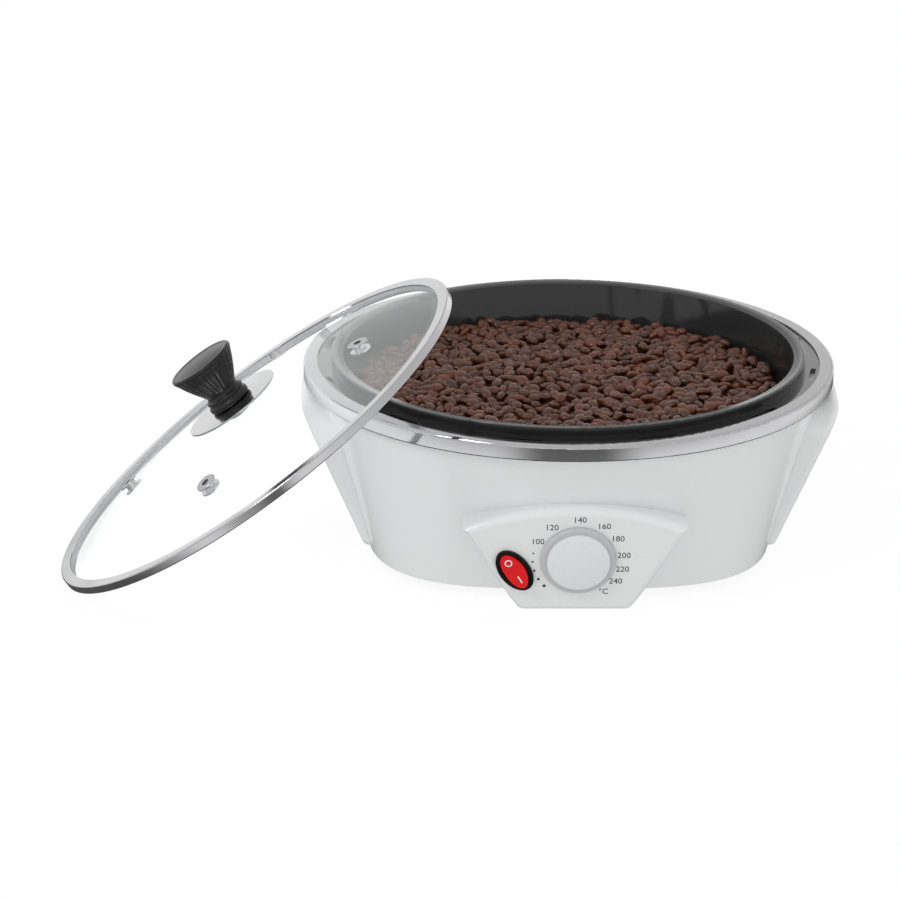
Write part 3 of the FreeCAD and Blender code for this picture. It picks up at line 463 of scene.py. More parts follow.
@dataclass(frozen=True)
class BeanSkin(Finish):
    """Oily roasted skin with a curved crease on the flat side of each bean, darkened by painted
    shade.

    A tone is a share of the finish's colour, a scale counts features for each metre, and a span
    is where a smooth step starts and ends, in the bean's own unit lengths.
    """

    bend: float = 0.14
    bend_turns: float = 2.6
    crease_span: Span = (0.03, 0.15)
    flat_span: Span = (-0.35, -0.05)
    crease_cut: float = 1.6
    crease_shade_share: float = 0.85
    crease_shade_tone: float = 0.2
    thread_span: Span = (0.93, 1.0)
    thread_share: float = 0.25
    thread_tone: float = 3.2
    roast_tones: Span = (0.42, 2.1)
    roast_share: float = 0.75
    mottle_scale: float = 420.0
    mottle_share: float = 0.35
    wrinkle_scale: float = 620.0
    wrinkle: float = 0.6
    oil_scale: float = 260.0
    oil_dull: float = 0.35

    def crease(self, shader: Shader) -> Field:
        """1 along a bent line over the flat side: the distance across from a sine of the length.

        Args:
            shader: the shader that gets the nodes.

        Returns:
            The line, in the bean's own coordinates.
        """
        own = shader.node("Attribute", {}, output="Vector", attribute_name="bean_place")
        along, across, height = shader.split(own)
        bent = sine(along * self.bend_turns) * self.bend
        line = 1.0 - step(abs(across - bent), *self.crease_span)
        return line * (1.0 - step(height, *self.flat_span))

    def relief(self, shader: Shader, at: Field) -> Field:
        """Wrinkles with the crease cut in."""
        wrinkles = noise(shader, at, self.wrinkle_scale, 4.0) * self.wrinkle
        return wrinkles - self.crease(shader) * self.crease_cut

    def tint(self, shader: Shader, at: Field, clouds: Field) -> Field:
        """Roast colour that differs from bean to bean, with painted shade darkening the crease and
        a pale thread in it.

        Args:
            shader: the shader that gets the nodes.
            at: coordinates in metres.
            clouds: slow noise from 0 to 1; not used.

        Returns:
            The colour.
        """
        roast = shader.node("Attribute", {}, output="Fac", attribute_name="bean_roast")
        mottle = noise(shader, at, self.mottle_scale, 5.0)
        dark, pale = (shaded(self.colour, tone) for tone in self.roast_tones)
        skin = blend(roast * self.roast_share + mottle * self.mottle_share, dark, pale)
        crease = self.crease(shader)
        # painted shade: the crease is darkened in colour where a real groove would lie in shade
        crease_shaded = blend(crease * self.crease_shade_share, skin, shaded(self.colour, self.crease_shade_tone))
        thread = step(crease, *self.thread_span) * self.thread_share
        return blend(thread, crease_shaded, shaded(self.colour, self.thread_tone))

    def gloss(self, shader: Shader, at: Field, clouds: Field) -> Field:
        """Oily patches between duller ones."""
        return noise(shader, at, self.oil_scale, 3.0) * self.oil_dull + self.roughness


@dataclass(frozen=True)
class LidPose:
    """Where the loose lid leans; the same driving values as the CAD source."""

    ring_r: float = 0.155
    ring_top: float = 0.103
    lid_r: float = 0.136
    lean_deg: float = 35.55
    side_deg: float = 180.2
    slide: float = 0.0706
    dip: float = 0.0055
    floor_gap: float = 0.0003
    apex: float = 0.0241

    def matrix(self) -> Matrix:
        """Placement of the lid, whose axes run down the slope, along the ring and out of its top.

        Returns:
            The placement.
        """
        side, lean = math.radians(self.side_deg), math.radians(self.lean_deg)
        outward = Vector((math.cos(side), math.sin(side), 0.0))
        along = Vector((-math.sin(side), math.cos(side), 0.0))
        up = Vector((0.0, 0.0, 1.0))
        slope = outward * math.cos(lean) - up * math.sin(lean)
        normal = outward * math.sin(lean) + up * math.cos(lean)
        contact = outward * self.ring_r + up * self.ring_top - normal * self.dip
        centre_z = self.floor_gap + self.lid_r * math.sin(lean)
        down = (contact.z - centre_z) / math.sin(lean)
        centre = contact + slope * down + along * self.slide
        axes = Matrix((slope, along, normal)).transposed().to_4x4()
        return Matrix.Translation(centre) @ axes

    def about(self) -> tuple[tuple, tuple]:
        """Rotation and shift that take world points into the lid's own frame."""
        back = self.matrix().inverted()
        return tuple(back.to_euler("XYZ")), tuple(back.translation)


@dataclass(frozen=True)
class PanelPose:
    """Where the control panel's face lies; the same driving values as the CAD source."""

    tilt_deg: float = 9.5
    face_y: float = -0.144
    dial_z: float = 0.033

    def matrix(self) -> Matrix:
        """Placement whose axes are the panel's width, its rise and its outward normal.

        Returns:
            The placement.
        """
        tilt = math.radians(self.tilt_deg)
        width = Vector((1.0, 0.0, 0.0))
        rise = Vector((0.0, -math.sin(tilt), math.cos(tilt)))
        normal = Vector((0.0, -math.cos(tilt), -math.sin(tilt)))
        axes = Matrix((width, rise, normal)).transposed().to_4x4()
        return Matrix.Translation((0.0, self.face_y, self.dial_z)) @ axes


def placed(points: np.ndarray, matrix: Matrix) -> np.ndarray:
    """Points moved by a placement.

    Args:
        points: rows of x, y, z.
        matrix: the placement.

    Returns:
        The moved rows.
    """
    full = np.array(matrix, float)
    return points @ full[:3, :3].T + full[:3, 3]


def grid_faces(rows: int, columns: int) -> np.ndarray:
    """Quads over a grid of points that closes on itself along its columns.

    Args:
        rows: rows of points.
        columns: points in each row.

    Returns:
        One row of four indices for each quad.
    """
    row, column = np.meshgrid(np.arange(rows - 1), np.arange(columns), indexing="ij")
    after = (column + 1) % columns
    quad = [row * columns + column, row * columns + after,
            (row + 1) * columns + after, (row + 1) * columns + column]
    return np.stack(quad, -1).reshape(-1, 4)


def add_piece(name: str, points: np.ndarray, faces: list, body: Body,
              material: bpy.types.Material, smooth: bool = True) -> bpy.types.Object:
    """Make a mesh piece that rides on a CAD body.

    Args:
        name: the piece's name.
        points: rows of x, y, z in the shared frame.
        faces: lists of point indices.
        body: the body it rides on.
        material: its finish.
        smooth: whether it is shaded smooth.

    Returns:
        The new object.
    """
    mesh = bpy.data.meshes.new(name)
    mesh.from_pydata(points.tolist(), [], faces)
    mesh.polygons.foreach_set("use_smooth", np.full(len(mesh.polygons), smooth))
    mesh.materials.append(material)
    mesh.update()
    piece = bpy.data.objects.new(name, mesh)
    bpy.context.scene.collection.objects.link(piece)
    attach(piece, body.value)
    LOG.info("%s: %d faces", name, len(mesh.polygons))
    return piece


@dataclass
class BeanHeap:
    """The roasted beans in the pan, in two layers over a dark bed.

    The half sizes are half the length and width, and the height above and below the middle. The
    roast is the mean and the spread of a share from dark to pale, and the angles are in radians.
    """

    material: bpy.types.Material
    edge_r: float = 0.1218
    edge_z: float = 0.0890
    crown_z: float = 0.0915
    spacing: float = 0.0072
    row_ratio: float = 0.866
    jitter: float = 0.33
    sink: float = 0.0022
    uneven: float = 0.0012
    layers: int = 2
    layer_drop: float = 0.0042
    half_size: tuple = (0.0051, 0.0038, 0.0030, 0.0014)
    taper: float = 0.12
    growth: Span = (0.86, 1.10)
    stretch: Span = (0.94, 1.06)
    roll_spread: float = 0.55
    flipped_share: float = 0.55
    pitch_spread: float = 0.22
    roast: Span = (0.45, 0.22)
    rings: int = 4
    columns: int = 10
    seed: int = 7
    bed_drop: float = 0.0075
    bed_past_edge: float = 0.0025
    bed_grid: tuple[int, int] = (40, 120)
    bed_inner_r: float = 0.001
    bed_ripple: float = 0.0006
    bed_waves: Span = (900.0, 37.0)

    def surface_z(self, radius: np.ndarray) -> np.ndarray:
        """Height of the heap: a flat parabola from the crown down to the edge."""
        return self.crown_z - (self.crown_z - self.edge_z) * (radius / self.edge_r) ** 2

    def bean(self) -> tuple[np.ndarray, list]:
        """One bean: a unit sphere in rings along its length, flattened later.

        Returns:
            Its unit points, and its faces with the two tips as the last points.
        """
        polar = np.pi * (np.arange(self.rings) + 1) / (self.rings + 1)
        turn = 2 * np.pi * np.arange(self.columns) / self.columns
        tip, side = np.meshgrid(polar, turn, indexing="ij")
        body = np.stack([np.cos(tip), np.sin(tip) * np.cos(side), np.sin(tip) * np.sin(side)], -1)
        points = np.concatenate([body.reshape(-1, 3), [[1.0, 0.0, 0.0], [-1.0, 0.0, 0.0]]])
        quads = grid_faces(self.rings, self.columns).tolist()
        first = np.arange(self.columns)
        after = (first + 1) % self.columns
        last = (self.rings - 1) * self.columns
        near = np.stack([after, first, np.full_like(first, len(points) - 2)], -1)
        far = np.stack([last + first, last + after, np.full_like(first, len(points) - 1)], -1)
        return points, quads + near.tolist() + far.tolist()

    def centres(self, random: np.random.Generator) -> np.ndarray:
        """Bean centres: jittered honeycombs, one under the other, inside the pan.

        Args:
            random: the source of the jitter.

        Returns:
            Rows of x, y, z.
        """
        reach = int(self.edge_r / self.spacing) + 3
        along, across = np.meshgrid(np.arange(-reach, reach), np.arange(-reach, reach))
        flat = np.stack([(along + across % 2 * 0.5).ravel(), (across * self.row_ratio).ravel()], -1)
        rows = []
        for layer in range(self.layers):
            spots = flat * self.spacing + layer * self.spacing * 0.5
            spots = spots + random.uniform(-self.jitter, self.jitter, spots.shape) * self.spacing
            radius = np.hypot(spots[:, 0], spots[:, 1])
            spots, radius = spots[radius < self.edge_r], radius[radius < self.edge_r]
            height = self.surface_z(radius) - self.sink - layer * self.layer_drop
            height = height + random.uniform(-self.uneven, self.uneven, len(spots))
            rows.append(np.column_stack([spots, height]))
        return np.concatenate(rows)

    def turns(self, random: np.random.Generator, count: int) -> np.ndarray:
        """A rotation for each bean: any heading, either side up, mostly lying near flat.

        Args:
            random: the source of the angles.
            count: how many beans.

        Returns:
            One 3 by 3 matrix for each bean.
        """
        heading = random.uniform(0, 2 * np.pi, count)
        roll = random.normal(0, self.roll_spread, count)
        roll = roll + np.where(random.random(count) < self.flipped_share, np.pi, 0.0)
        pitch = random.normal(0, self.pitch_spread, count)
        ch, sh, cr, sr = np.cos(heading), np.sin(heading), np.cos(roll), np.sin(roll)
        cp, sp, zero, one = np.cos(pitch), np.sin(pitch), np.zeros(count), np.ones(count)
        about_z = np.stack([ch, -sh, zero, sh, ch, zero, zero, zero, one], -1).reshape(-1, 3, 3)
        about_y = np.stack([cp, zero, sp, zero, one, zero, -sp, zero, cp], -1).reshape(-1, 3, 3)
        about_x = np.stack([one, zero, zero, zero, cr, -sr, zero, sr, cr], -1).reshape(-1, 3, 3)
        return about_z @ about_y @ about_x

    def build(self) -> None:
        """Make the beans and the bed, and hide the CAD heap behind them. A bean is an ellipsoid
        with a narrower end each way, whose lower half is flatter than its upper half."""
        random = np.random.default_rng(self.seed)
        unit, faces = self.bean()
        spots = self.centres(random)
        count = len(spots)
        long, wide, top, flat = self.half_size
        narrowed = wide * (1 - self.taper * unit[:, 0] ** 2)
        shape = np.stack([unit[:, 0] * long, unit[:, 1] * narrowed,
                          unit[:, 2] * np.where(unit[:, 2] > 0, top, flat)], -1)
        scale = random.uniform(*self.growth, (count, 1, 1))
        scale = scale * random.uniform(*self.stretch, (count, 1, 3))
        solid = np.einsum("nij,nkj->nki", self.turns(random, count), shape[None] * scale)
        points = (solid + spots[:, None, :]).reshape(-1, 3)
        offsets = (np.arange(count) * len(unit))[:, None, None]
        all_faces = []
        for sides in (4, 3):
            own = np.array([face for face in faces if len(face) == sides])
            all_faces += (own[None] + offsets).reshape(-1, sides).tolist()
        heap = add_piece("bean_heap", points, all_faces, Body.ROASTER, self.material)
        place = heap.data.attributes.new("bean_place", "FLOAT_VECTOR", "POINT")
        place.data.foreach_set("vector", np.tile(unit, (count, 1)).astype(np.float32).ravel())
        roast = heap.data.attributes.new("bean_roast", "FLOAT", "POINT")
        values = np.repeat(np.clip(random.normal(*self.roast, count), 0, 1), len(unit))
        roast.data.foreach_set("value", values.astype(np.float32))
        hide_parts("bean_charge")
        self.bed()

    def bed(self) -> None:
        """Dark surface under the layers: the heap's own parabola, lowered and rippled by a
        product of a sine of the radius and a sine of the angle."""
        rows, columns = self.bed_grid
        radii = np.linspace(self.bed_inner_r, self.edge_r + self.bed_past_edge, rows)
        turn = np.linspace(0, 2 * np.pi, columns, endpoint=False)
        radius, angle = np.meshgrid(radii, turn, indexing="ij")
        out, round_about = self.bed_waves
        ripple = self.bed_ripple * np.sin(radius * out) * np.sin(angle * round_about)
        height = self.surface_z(radius) - self.bed_drop + ripple
        points = np.stack([radius * np.cos(angle), radius * np.sin(angle), height], -1)
        add_piece("bean_bed", points.reshape(-1, 3), grid_faces(rows, columns).tolist(),
                  Body.ROASTER, self.material)


@dataclass
class LidKnob:
    """The black knob: ribbed collar, narrow neck and a wide fluted head."""

    material: bpy.types.Material
    pose: LidPose
    flange: float = 0.0010
    flutes: int = 30
    flute_depth: float = 0.00035
    neck_z: float = 0.0095
    neck_fade: float = 0.004
    edge_z: float = 0.0286
    edge_fade: float = 0.0012
    inner_r: float = 0.0085
    rows: int = 90
    columns: int = 300
    profile: tuple = (
        (0.0005, 0.0), (0.0118, 0.0), (0.0126, 0.0008), (0.0126, 0.0030), (0.0112, 0.0040),
        (0.0118, 0.0050), (0.0118, 0.0062), (0.0102, 0.0074), (0.0098, 0.0090),
        (0.0112, 0.0115), (0.0140, 0.0160), (0.0168, 0.0212), (0.0186, 0.0252),
        (0.0197, 0.0272), (0.0198, 0.0284), (0.0190, 0.0292), (0.0176, 0.0294),
        (0.0168, 0.0290), (0.0120, 0.0296), (0.0060, 0.0300), (0.0005, 0.0301))

    def build(self) -> None:
        """Make the knob: its profile turned about the lid's axis, with the radius drawn in along
        a row of cosine flutes between the neck and the head's edge."""
        turned = np.array(self.profile)
        run = np.concatenate([[0.0], np.cumsum(np.hypot(*np.diff(turned, axis=0).T))])
        along = np.linspace(0, run[-1], self.rows)
        radius = np.interp(along, run, turned[:, 0])
        height = np.interp(along, run, turned[:, 1])
        angle = np.linspace(0, 2 * np.pi, self.columns, endpoint=False)
        head = (np.clip((height - self.neck_z) / self.neck_fade, 0, 1)
                * np.clip((self.edge_z - height) / self.edge_fade, 0, 1)
                * (radius > self.inner_r))
        groove = (0.5 - 0.5 * np.cos(angle * self.flutes)) ** 2
        grown = radius[:, None] - self.flute_depth * head[:, None] * groove[None, :]
        level = np.repeat(height[:, None], self.columns, 1) + self.pose.apex + self.flange
        own = np.stack([grown * np.cos(angle), grown * np.sin(angle), level], -1).reshape(-1, 3)
        points = placed(own, self.pose.matrix())
        faces = grid_faces(self.rows, self.columns).tolist()
        faces.append(list(range(self.columns))[::-1])
        faces.append(list(range((self.rows - 1) * self.columns, self.rows * self.columns)))
        knob = add_piece("lid_knob_fluted", points, faces, Body.LID,
                         self.material)
        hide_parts("lid_knob")


def lettering(text: str, size: float, thickness: float) -> tuple[np.ndarray, np.ndarray]:
    """Flat raised text about the origin.

    Args:
        text: what it reads.
        size: height of the type.
        thickness: how far it stands up.

    Returns:
        Points and triangles.
    """
    curve = bpy.data.curves.new("lettering", "FONT")
    curve.body, curve.size, curve.extrude, curve.resolution_u = text, size, thickness / 2, 3
    curve.align_x, curve.align_y = "CENTER", "CENTER"
    carrier = bpy.data.objects.new("lettering", curve)
    bpy.context.scene.collection.objects.link(carrier)
    bpy.context.view_layer.update()
    graph = bpy.context.evaluated_depsgraph_get()
    made = bpy.data.meshes.new_from_object(carrier.evaluated_get(graph))
    made.calc_loop_triangles()
    points = np.zeros(len(made.vertices) * 3)
    made.vertices.foreach_get("co", points)
    triangles = np.zeros(len(made.loop_triangles) * 3, int)
    made.loop_triangles.foreach_get("vertices", triangles)
    bpy.data.objects.remove(carrier)
    bpy.data.curves.remove(curve)
    bpy.data.meshes.remove(made)
    return points.reshape(-1, 3), triangles.reshape(-1, 3)


def disc_points(radius: float, thickness: float,
                sides: int = 20) -> tuple[np.ndarray, np.ndarray]:
    """A low round dot as a fan of triangles with a short wall.

    Args:
        radius: its radius.
        thickness: its height.
        sides: points round it.

    Returns:
        Points and triangles.
    """
    angle = 2 * np.pi * np.arange(sides) / sides
    ring = np.stack([radius * np.cos(angle), radius * np.sin(angle)], -1)
    top = np.column_stack([ring, np.full(sides, thickness)])
    low = np.column_stack([ring, np.zeros(sides)])
    points = np.concatenate([top, low, [[0.0, 0.0, thickness]]])
    first = np.arange(sides)
    after = (first + 1) % sides
    fan = np.stack([first, after, np.full(sides, 2 * sides)], -1)
    wall = np.concatenate([np.stack([first, first + sides, after], -1),
                           np.stack([after, first + sides, after + sides], -1)])
    return points, np.concatenate([fan, wall])


@dataclass
class DialPrint:
    """The printed scale round the dial: eight numbers, the unit and a row of growing dots."""

    material: bpy.types.Material
    pose: PanelPose = field(default_factory=PanelPose)
    dial_x: float = 0.0015
    pitch_r: float = 0.0252
    size: float = 0.0050
    thickness: float = 0.00008
    degrees: tuple[tuple[str, float], ...] = (
        ("100", 153.0), ("120", 126.0), ("140", 89.0), ("160", 57.0), ("180", 31.6),
        ("200", 5.9), ("220", -14.5), ("240", -34.0), ("°C", -55.5))
    dots: tuple[Span, ...] = (
        (170.7, 0.00050), (183.1, 0.00060), (196.5, 0.00070), (210.0, 0.00080), (222.4, 0.00090))

    def build(self) -> None:
        """Set every mark on its angle round the dial and join them into one piece."""
        parts = [(angle, *lettering(text, self.size, self.thickness))
                 for text, angle in self.degrees]
        parts += [(angle, *disc_points(radius, self.thickness)) for angle, radius in self.dots]
        points, faces, start = [], [], 0
        for angle, own, triangles in parts:
            turn = math.radians(angle)
            centre = (self.dial_x + self.pitch_r * math.cos(turn),
                      self.pitch_r * math.sin(turn), self.thickness / 2)
            points.append(own + np.array(centre))
            faces.append(triangles + start)
            start += len(own)
        marks = placed(np.concatenate(points), self.pose.matrix())
        add_piece("dial_scale_print", marks, np.concatenate(faces).tolist(), Body.ROASTER,
                  self.material, smooth=False)


@dataclass
class RockerMarks:
    """The round O mark on the pressed side of the rocker and the bar on its raised side."""

    material: bpy.types.Material
    pose: PanelPose = field(default_factory=PanelPose)
    centre: Span = (-0.0335, -0.0065)
    turn_deg: float = -56.0
    tilt_deg: float = 7.0
    pivot: float = -0.0010
    proud: float = 0.0034
    half: float = 0.0112
    overhang: float = 0.001
    reach: float = 0.0058
    ring_r: Span = (0.00150, 0.00215)
    ring_sides: int = 40
    bar_half: Span = (0.0022, 0.00035)
    levels: Span = (-0.0001, 0.00010)

    def on_rocker(self, points: np.ndarray, side: float) -> np.ndarray:
        """Points drawn flat about the origin, set on one half of the rocker's top.

        Args:
            points: rows of x, y, z.
            side: -1 for the pressed half and 1 for the raised half.

        Returns:
            Rows in the shared frame.
        """
        tilt = math.radians(self.tilt_deg)
        drop = self.half * math.tan(tilt)
        slope = math.atan2(drop, self.half + self.overhang)
        height = self.proud - drop + math.tan(slope) * self.reach
        half = (Matrix.Translation((side * self.reach, 0, height))
                @ Matrix.Rotation(-side * slope, 4, "Y"))
        tip = (Matrix.Translation((0, 0, self.pivot)) @ Matrix.Rotation(-tilt, 4, "Y")
               @ Matrix.Translation((0, 0, -self.pivot)))
        local = (Matrix.Translation((*self.centre, 0))
                 @ Matrix.Rotation(math.radians(self.turn_deg), 4, "Z"))
        return placed(points, self.pose.matrix() @ local @ tip @ half)

    def build(self) -> None:
        """Make the ring and the bar, each a short raised strip."""
        low, high = self.levels
        inner, outer = self.ring_r
        angle = np.linspace(0, 2 * np.pi, self.ring_sides, endpoint=False)
        radii = np.array([inner, inner, outer, outer])[:, None]
        heights = np.repeat(np.array([low, high, high, low])[:, None], self.ring_sides, 1)
        ring = np.stack([radii * np.cos(angle), radii * np.sin(angle), heights], -1)
        add_piece("rocker_mark_off", self.on_rocker(ring.reshape(-1, 3), -1.0),
                  grid_faces(4, self.ring_sides).tolist(), Body.ROCKER,
                  self.material)
        outline = np.array([[-1, -1], [1, -1], [1, 1], [-1, 1]], float) * np.array(self.bar_half)
        bar = np.concatenate([np.column_stack([outline, np.full(4, z)]) for z in (low, high)])
        faces = grid_faces(2, 4).tolist() + [[3, 2, 1, 0], [4, 5, 6, 7]]
        add_piece("rocker_mark_on", self.on_rocker(bar, 1.0), faces, Body.ROCKER,
                  self.material, smooth=False)


@dataclass(frozen=True)
class SoftBox:
    """One rectangular studio light, which may be kept out of mirror images."""

    name: str
    place: tuple
    target: tuple
    size: Span
    power: float
    mirrored: bool = True

    def build(self) -> None:
        """Add the light and turn it to its target."""
        light = bpy.data.lights.new(self.name, "AREA")
        light.shape, light.size, light.size_y = "RECTANGLE", *self.size
        light.energy = self.power
        lamp = bpy.data.objects.new(self.name, light)
        lamp.location = self.place
        lamp.visible_glossy = self.mirrored
        aim = Vector(self.target) - Vector(self.place)
        lamp.rotation_euler = aim.to_track_quat("-Z", "Y").to_euler()
        bpy.context.scene.collection.objects.link(lamp)


@dataclass
class Studio:
    """White floor, soft lights, surroundings and the camera of the photo.

    The floor's glow is given for the camera and for matt surfaces. Each band of its mirror image
    has the distances from the middle between which the brightness changes, and the change.
    """

    lens: float = 121.36
    sensor: float = 36.0
    place: tuple = (-0.0691, -1.6893, 0.6658)
    tilt_deg: float = 69.8
    floor_half: float = 6.0
    floor_z: float = -0.0004
    floor_matt: float = 0.10
    floor_glow: Span = (0.92, 0.72)
    mirror_base: float = 0.02
    mirror_bands: tuple = ((0.33, 0.39, 0.90), (0.395, 0.45, -0.55), (0.80, 2.0, 0.60))
    card_half: Span = (0.06, 0.20)
    card_dark: float = 0.12
    horizon: float = 1.05
    zenith: float = 0.64
    zenith_from: float = 0.35
    lights: tuple[SoftBox, ...] = (
        SoftBox("key", (-1.3, -1.0, 1.6), (0.0, 0.0, 0.05), (0.7, 0.5), 10.0),
        SoftBox("fill", (1.6, -0.9, 0.9), (0.0, 0.0, 0.05), (0.7, 1.0), 3.0, mirrored=False),
        SoftBox("back", (0.2, 1.7, 1.1), (0.0, 0.0, 0.08), (1.8, 0.4), 5.0, mirrored=False),
    )

    def camera(self) -> None:
        """The camera that was fitted to the photo."""
        data = bpy.data.cameras.new("camera")
        data.lens, data.sensor_width = self.lens, self.sensor
        camera = bpy.data.objects.new("camera", data)
        camera.location = self.place
        camera.rotation_euler = (math.radians(self.tilt_deg), 0.0, 0.0)
        bpy.context.scene.collection.objects.link(camera)
        bpy.context.scene.camera = camera

    def surroundings(self) -> None:
        """A world that is bright at the horizon and dimmer overhead."""
        world = bpy.data.worlds.new("studio")
        bpy.context.scene.world = world
        world.use_nodes = True
        tree = world.node_tree
        background = tree.nodes["Background"]
        background.inputs["Color"].default_value = (1.0, 1.0, 1.0, 1.0)
        along = tree.nodes.new("ShaderNodeTexCoord")
        parts = tree.nodes.new("ShaderNodeSeparateXYZ")
        ramp = tree.nodes.new("ShaderNodeMapRange")
        limits = {"From Min": 0.0, "From Max": self.zenith_from,
                  "To Min": self.horizon, "To Max": self.zenith}
        for key, value in limits.items():
            ramp.inputs[key].default_value = value
        tree.links.new(along.outputs["Generated"], parts.inputs[0])
        tree.links.new(parts.outputs["Z"], ramp.inputs["Value"])
        tree.links.new(ramp.outputs[0], background.inputs["Strength"])

    def floor(self) -> None:
        """A white page under the object that shows only a faint shadow."""
        half, z = self.floor_half, self.floor_z
        mesh = bpy.data.meshes.new("floor")
        outline = [(-half, -half, z), (half, -half, z), (half, half, z), (-half, half, z)]
        mesh.from_pydata(outline, [], [(0, 1, 2, 3)])
        page = bpy.data.objects.new("floor", mesh)
        bpy.context.scene.collection.objects.link(page)
        mesh.materials.append(self.paper())
        page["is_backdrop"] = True

    def paper(self) -> bpy.types.Material:
        """White page: it glows to the camera, and mirrors in steel as bands that run round the
        object: dark under it, then bright, then dim further out, with a dark card lying before
        and behind it.

        Returns:
            The page's material.
        """
        shader = Shader("page")
        seen = shader.node("LightPath", {}, output="Is Camera Ray")
        mirrored = shader.node("LightPath", {}, output="Is Glossy Ray")
        at = shader.node("TexCoord", {}, output="Object")
        away = shader.node("VectorMath", {0: at}, output="Value", operation="LENGTH")
        bands = (step(away, low, high) * change for low, high, change in self.mirror_bands)
        aside = abs(shader.split(at)[0])
        card = step(aside, *self.card_half) * (1.0 - self.card_dark) + self.card_dark
        to_camera, to_matt = self.floor_glow
        others = mirrored * card * sum(bands, self.mirror_base) + (1.0 - mirrored) * to_matt
        shader.surface(Base_Color=(self.floor_matt,) * 3, Roughness=1.0, Specular_IOR_Level=0.0,
                       Emission_Color=seen * to_camera + (1.0 - seen) * others,
                       Emission_Strength=1.0)
        return shader.material

    def build(self) -> None:
        """Set up the whole studio."""
        for light in self.lights:
            light.build()
        self.surroundings()
        self.floor()
        self.camera()
        bpy.context.scene.view_settings.view_transform = "Standard"


def top_of(name: str) -> float:
    """Height of the highest point of a CAD node.

    Args:
        name: the node.

    Returns:
        The height in metres.
    """
    mesh = frame["nodes"][name].data
    places = np.zeros(len(mesh.vertices) * 3)
    mesh.vertices.foreach_get("co", places)
    return float(places[2::3].max())


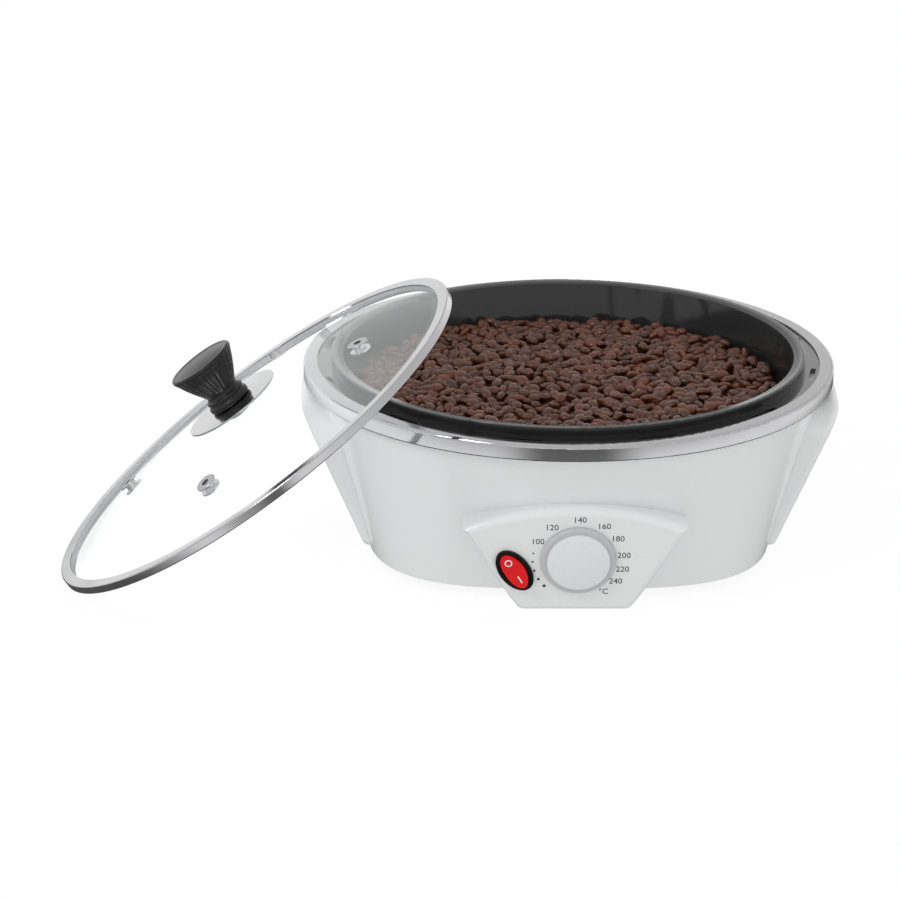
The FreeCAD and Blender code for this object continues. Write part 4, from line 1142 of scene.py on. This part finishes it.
def finishes() -> dict[Slot, Finish]:
    """The finish of every material slot.

    Returns:
        Slot to finish.
    """
    return {
        Slot.SHELL_WHITE: Finish("white_gloss_plastic", (0.84, 0.845, 0.85), 0.28, coat=0.35,
                                 spread=0.015),
        Slot.TRIM_STEEL: TurnedMetal("turned_trim_steel", (0.62, 0.62, 0.63), 0.06, metallic=1.0,
                                     depth=1.2e-6, smudge=0.05),
        Slot.PLAIN_STEEL: TurnedMetal("plain_steel", (0.62, 0.62, 0.63), 0.20, metallic=1.0,
                                      depth=2e-6),
        Slot.NONSTICK: NonStick("nonstick_coat", (0.014, 0.014, 0.015), 0.40, coat=0.70,
                                grain=1500.0, depth=1.5e-5, specular=0.20, rim_z=top_of("pan")),
        Slot.BLACK_PLASTIC: Finish("black_moulded_plastic", (0.010, 0.010, 0.011), 0.38,
                                   grain=2200.0, depth=1.2e-5, spread=0.2, specular=0.25),
        Slot.BEANS: BeanSkin("roasted_beans", (0.082, 0.023, 0.009), 0.12, coat=0.15,
                             depth=2.2e-4, specular=0.45),
        Slot.BRONZE: TurnedMetal("bush_bronze", (0.55, 0.36, 0.16), 0.30, metallic=1.0),
        Slot.SHEET_ALUMINIUM: Finish("rolled_aluminium", (0.65, 0.65, 0.66), 0.33, metallic=1.0,
                                     grain=300.0),
        Slot.MOTOR_GREY: Finish("motor_paint", (0.10, 0.11, 0.12), 0.45, grain=1200.0,
                                depth=1e-5),
        Slot.RUBBER: Finish("rubber", (0.020, 0.020, 0.020), 0.75, grain=1800.0, depth=2e-5,
                            spread=0.25),
        Slot.DIAL_GREY: Finish("dial_ring_grey", (0.55, 0.55, 0.56), 0.34, coat=0.15,
                               spread=0.03),
        Slot.DIAL_PALE: Finish("dial_cap_pale", (0.80, 0.81, 0.82), 0.22, coat=0.4, spread=0.02),
        Slot.ROCKER_RED: Finish("rocker_clear_red", (0.78, 0.006, 0.008), 0.24, coat=0.3,
                                spread=0.12),
        Slot.LID_GLASS: ClearGlass("lid_clear_glass", (0.90, 0.93, 0.93), 0.05, coat=1.0,
                                   grain=60.0, depth=1e-5, spread=0.01),
        Slot.TERMINAL_CREAM: Finish("terminal_cream", (0.70, 0.64, 0.50), 0.55, grain=1500.0,
                                    depth=1e-5),
    }


def paint_nodes(finish_of: dict[Slot, Finish], lid: LidPose) -> dict[Slot, bpy.types.Material]:
    """Give every CAD node the finish of its slot. The lid's steel has its rings about the lid's
    own axis, and the ring that carries the pan is glossier than the other black parts.

    Args:
        finish_of: slot to finish.
        lid: the lid's pose.

    Returns:
        Slot to material.
    """
    made = {slot: finish.build() for slot, finish in finish_of.items()}
    turn, shift = lid.about()
    rim = TurnedMetal("turned_lid_steel", (0.60, 0.60, 0.61), 0.14, metallic=1.0, depth=1.2e-6,
                      turn=turn, shift=shift).build()
    channel = Finish("channel_gloss_black", (0.010, 0.010, 0.010), 0.12, coat=1.0, grain=1200.0,
                     depth=5e-6, specular=0.9).build()
    for part in frame["record"]["subparts"]:
        node = frame["nodes"][part["node"]]
        slot = Slot(part["material_slot"])
        on_lid = slot is Slot.TRIM_STEEL and part["node"].startswith("lid_")
        own = channel if part["node"] == "seat_ring" else made[slot]
        node.data.materials.clear()
        node.data.materials.append(rim if on_lid else own)
    return made


def corners(label: str, sizes: dict) -> None:
    """Note the shown object's lowest and highest corner under a label."""
    low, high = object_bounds()
    sizes[label] = [list(low), list(high)]


def main() -> None:
    """Build the looks round the frame."""
    logging.basicConfig(level=logging.INFO)
    sizes: dict[str, Optional[list]] = {}
    corners("before", sizes)
    lid = LidPose()
    made = paint_nodes(finishes(), lid)
    ink = Finish("printed_ink", (0.05, 0.05, 0.055), 0.5, grain=3000.0, spread=0.15).build()
    knob_black = Finish("knob_black", (0.011, 0.011, 0.012), 0.25, coat=0.08, grain=1600.0,
                        depth=1.5e-5, specular=0.35).build()
    white_ink = Finish("white_mark", (0.85, 0.85, 0.85), 0.4, grain=3000.0, spread=0.05).build()
    BeanHeap(made[Slot.BEANS]).build()
    LidKnob(knob_black, lid).build()
    DialPrint(ink).build()
    RockerMarks(white_ink).build()
    Studio().build()
    corners("after", sizes)


if __name__ == "__main__":
    main()
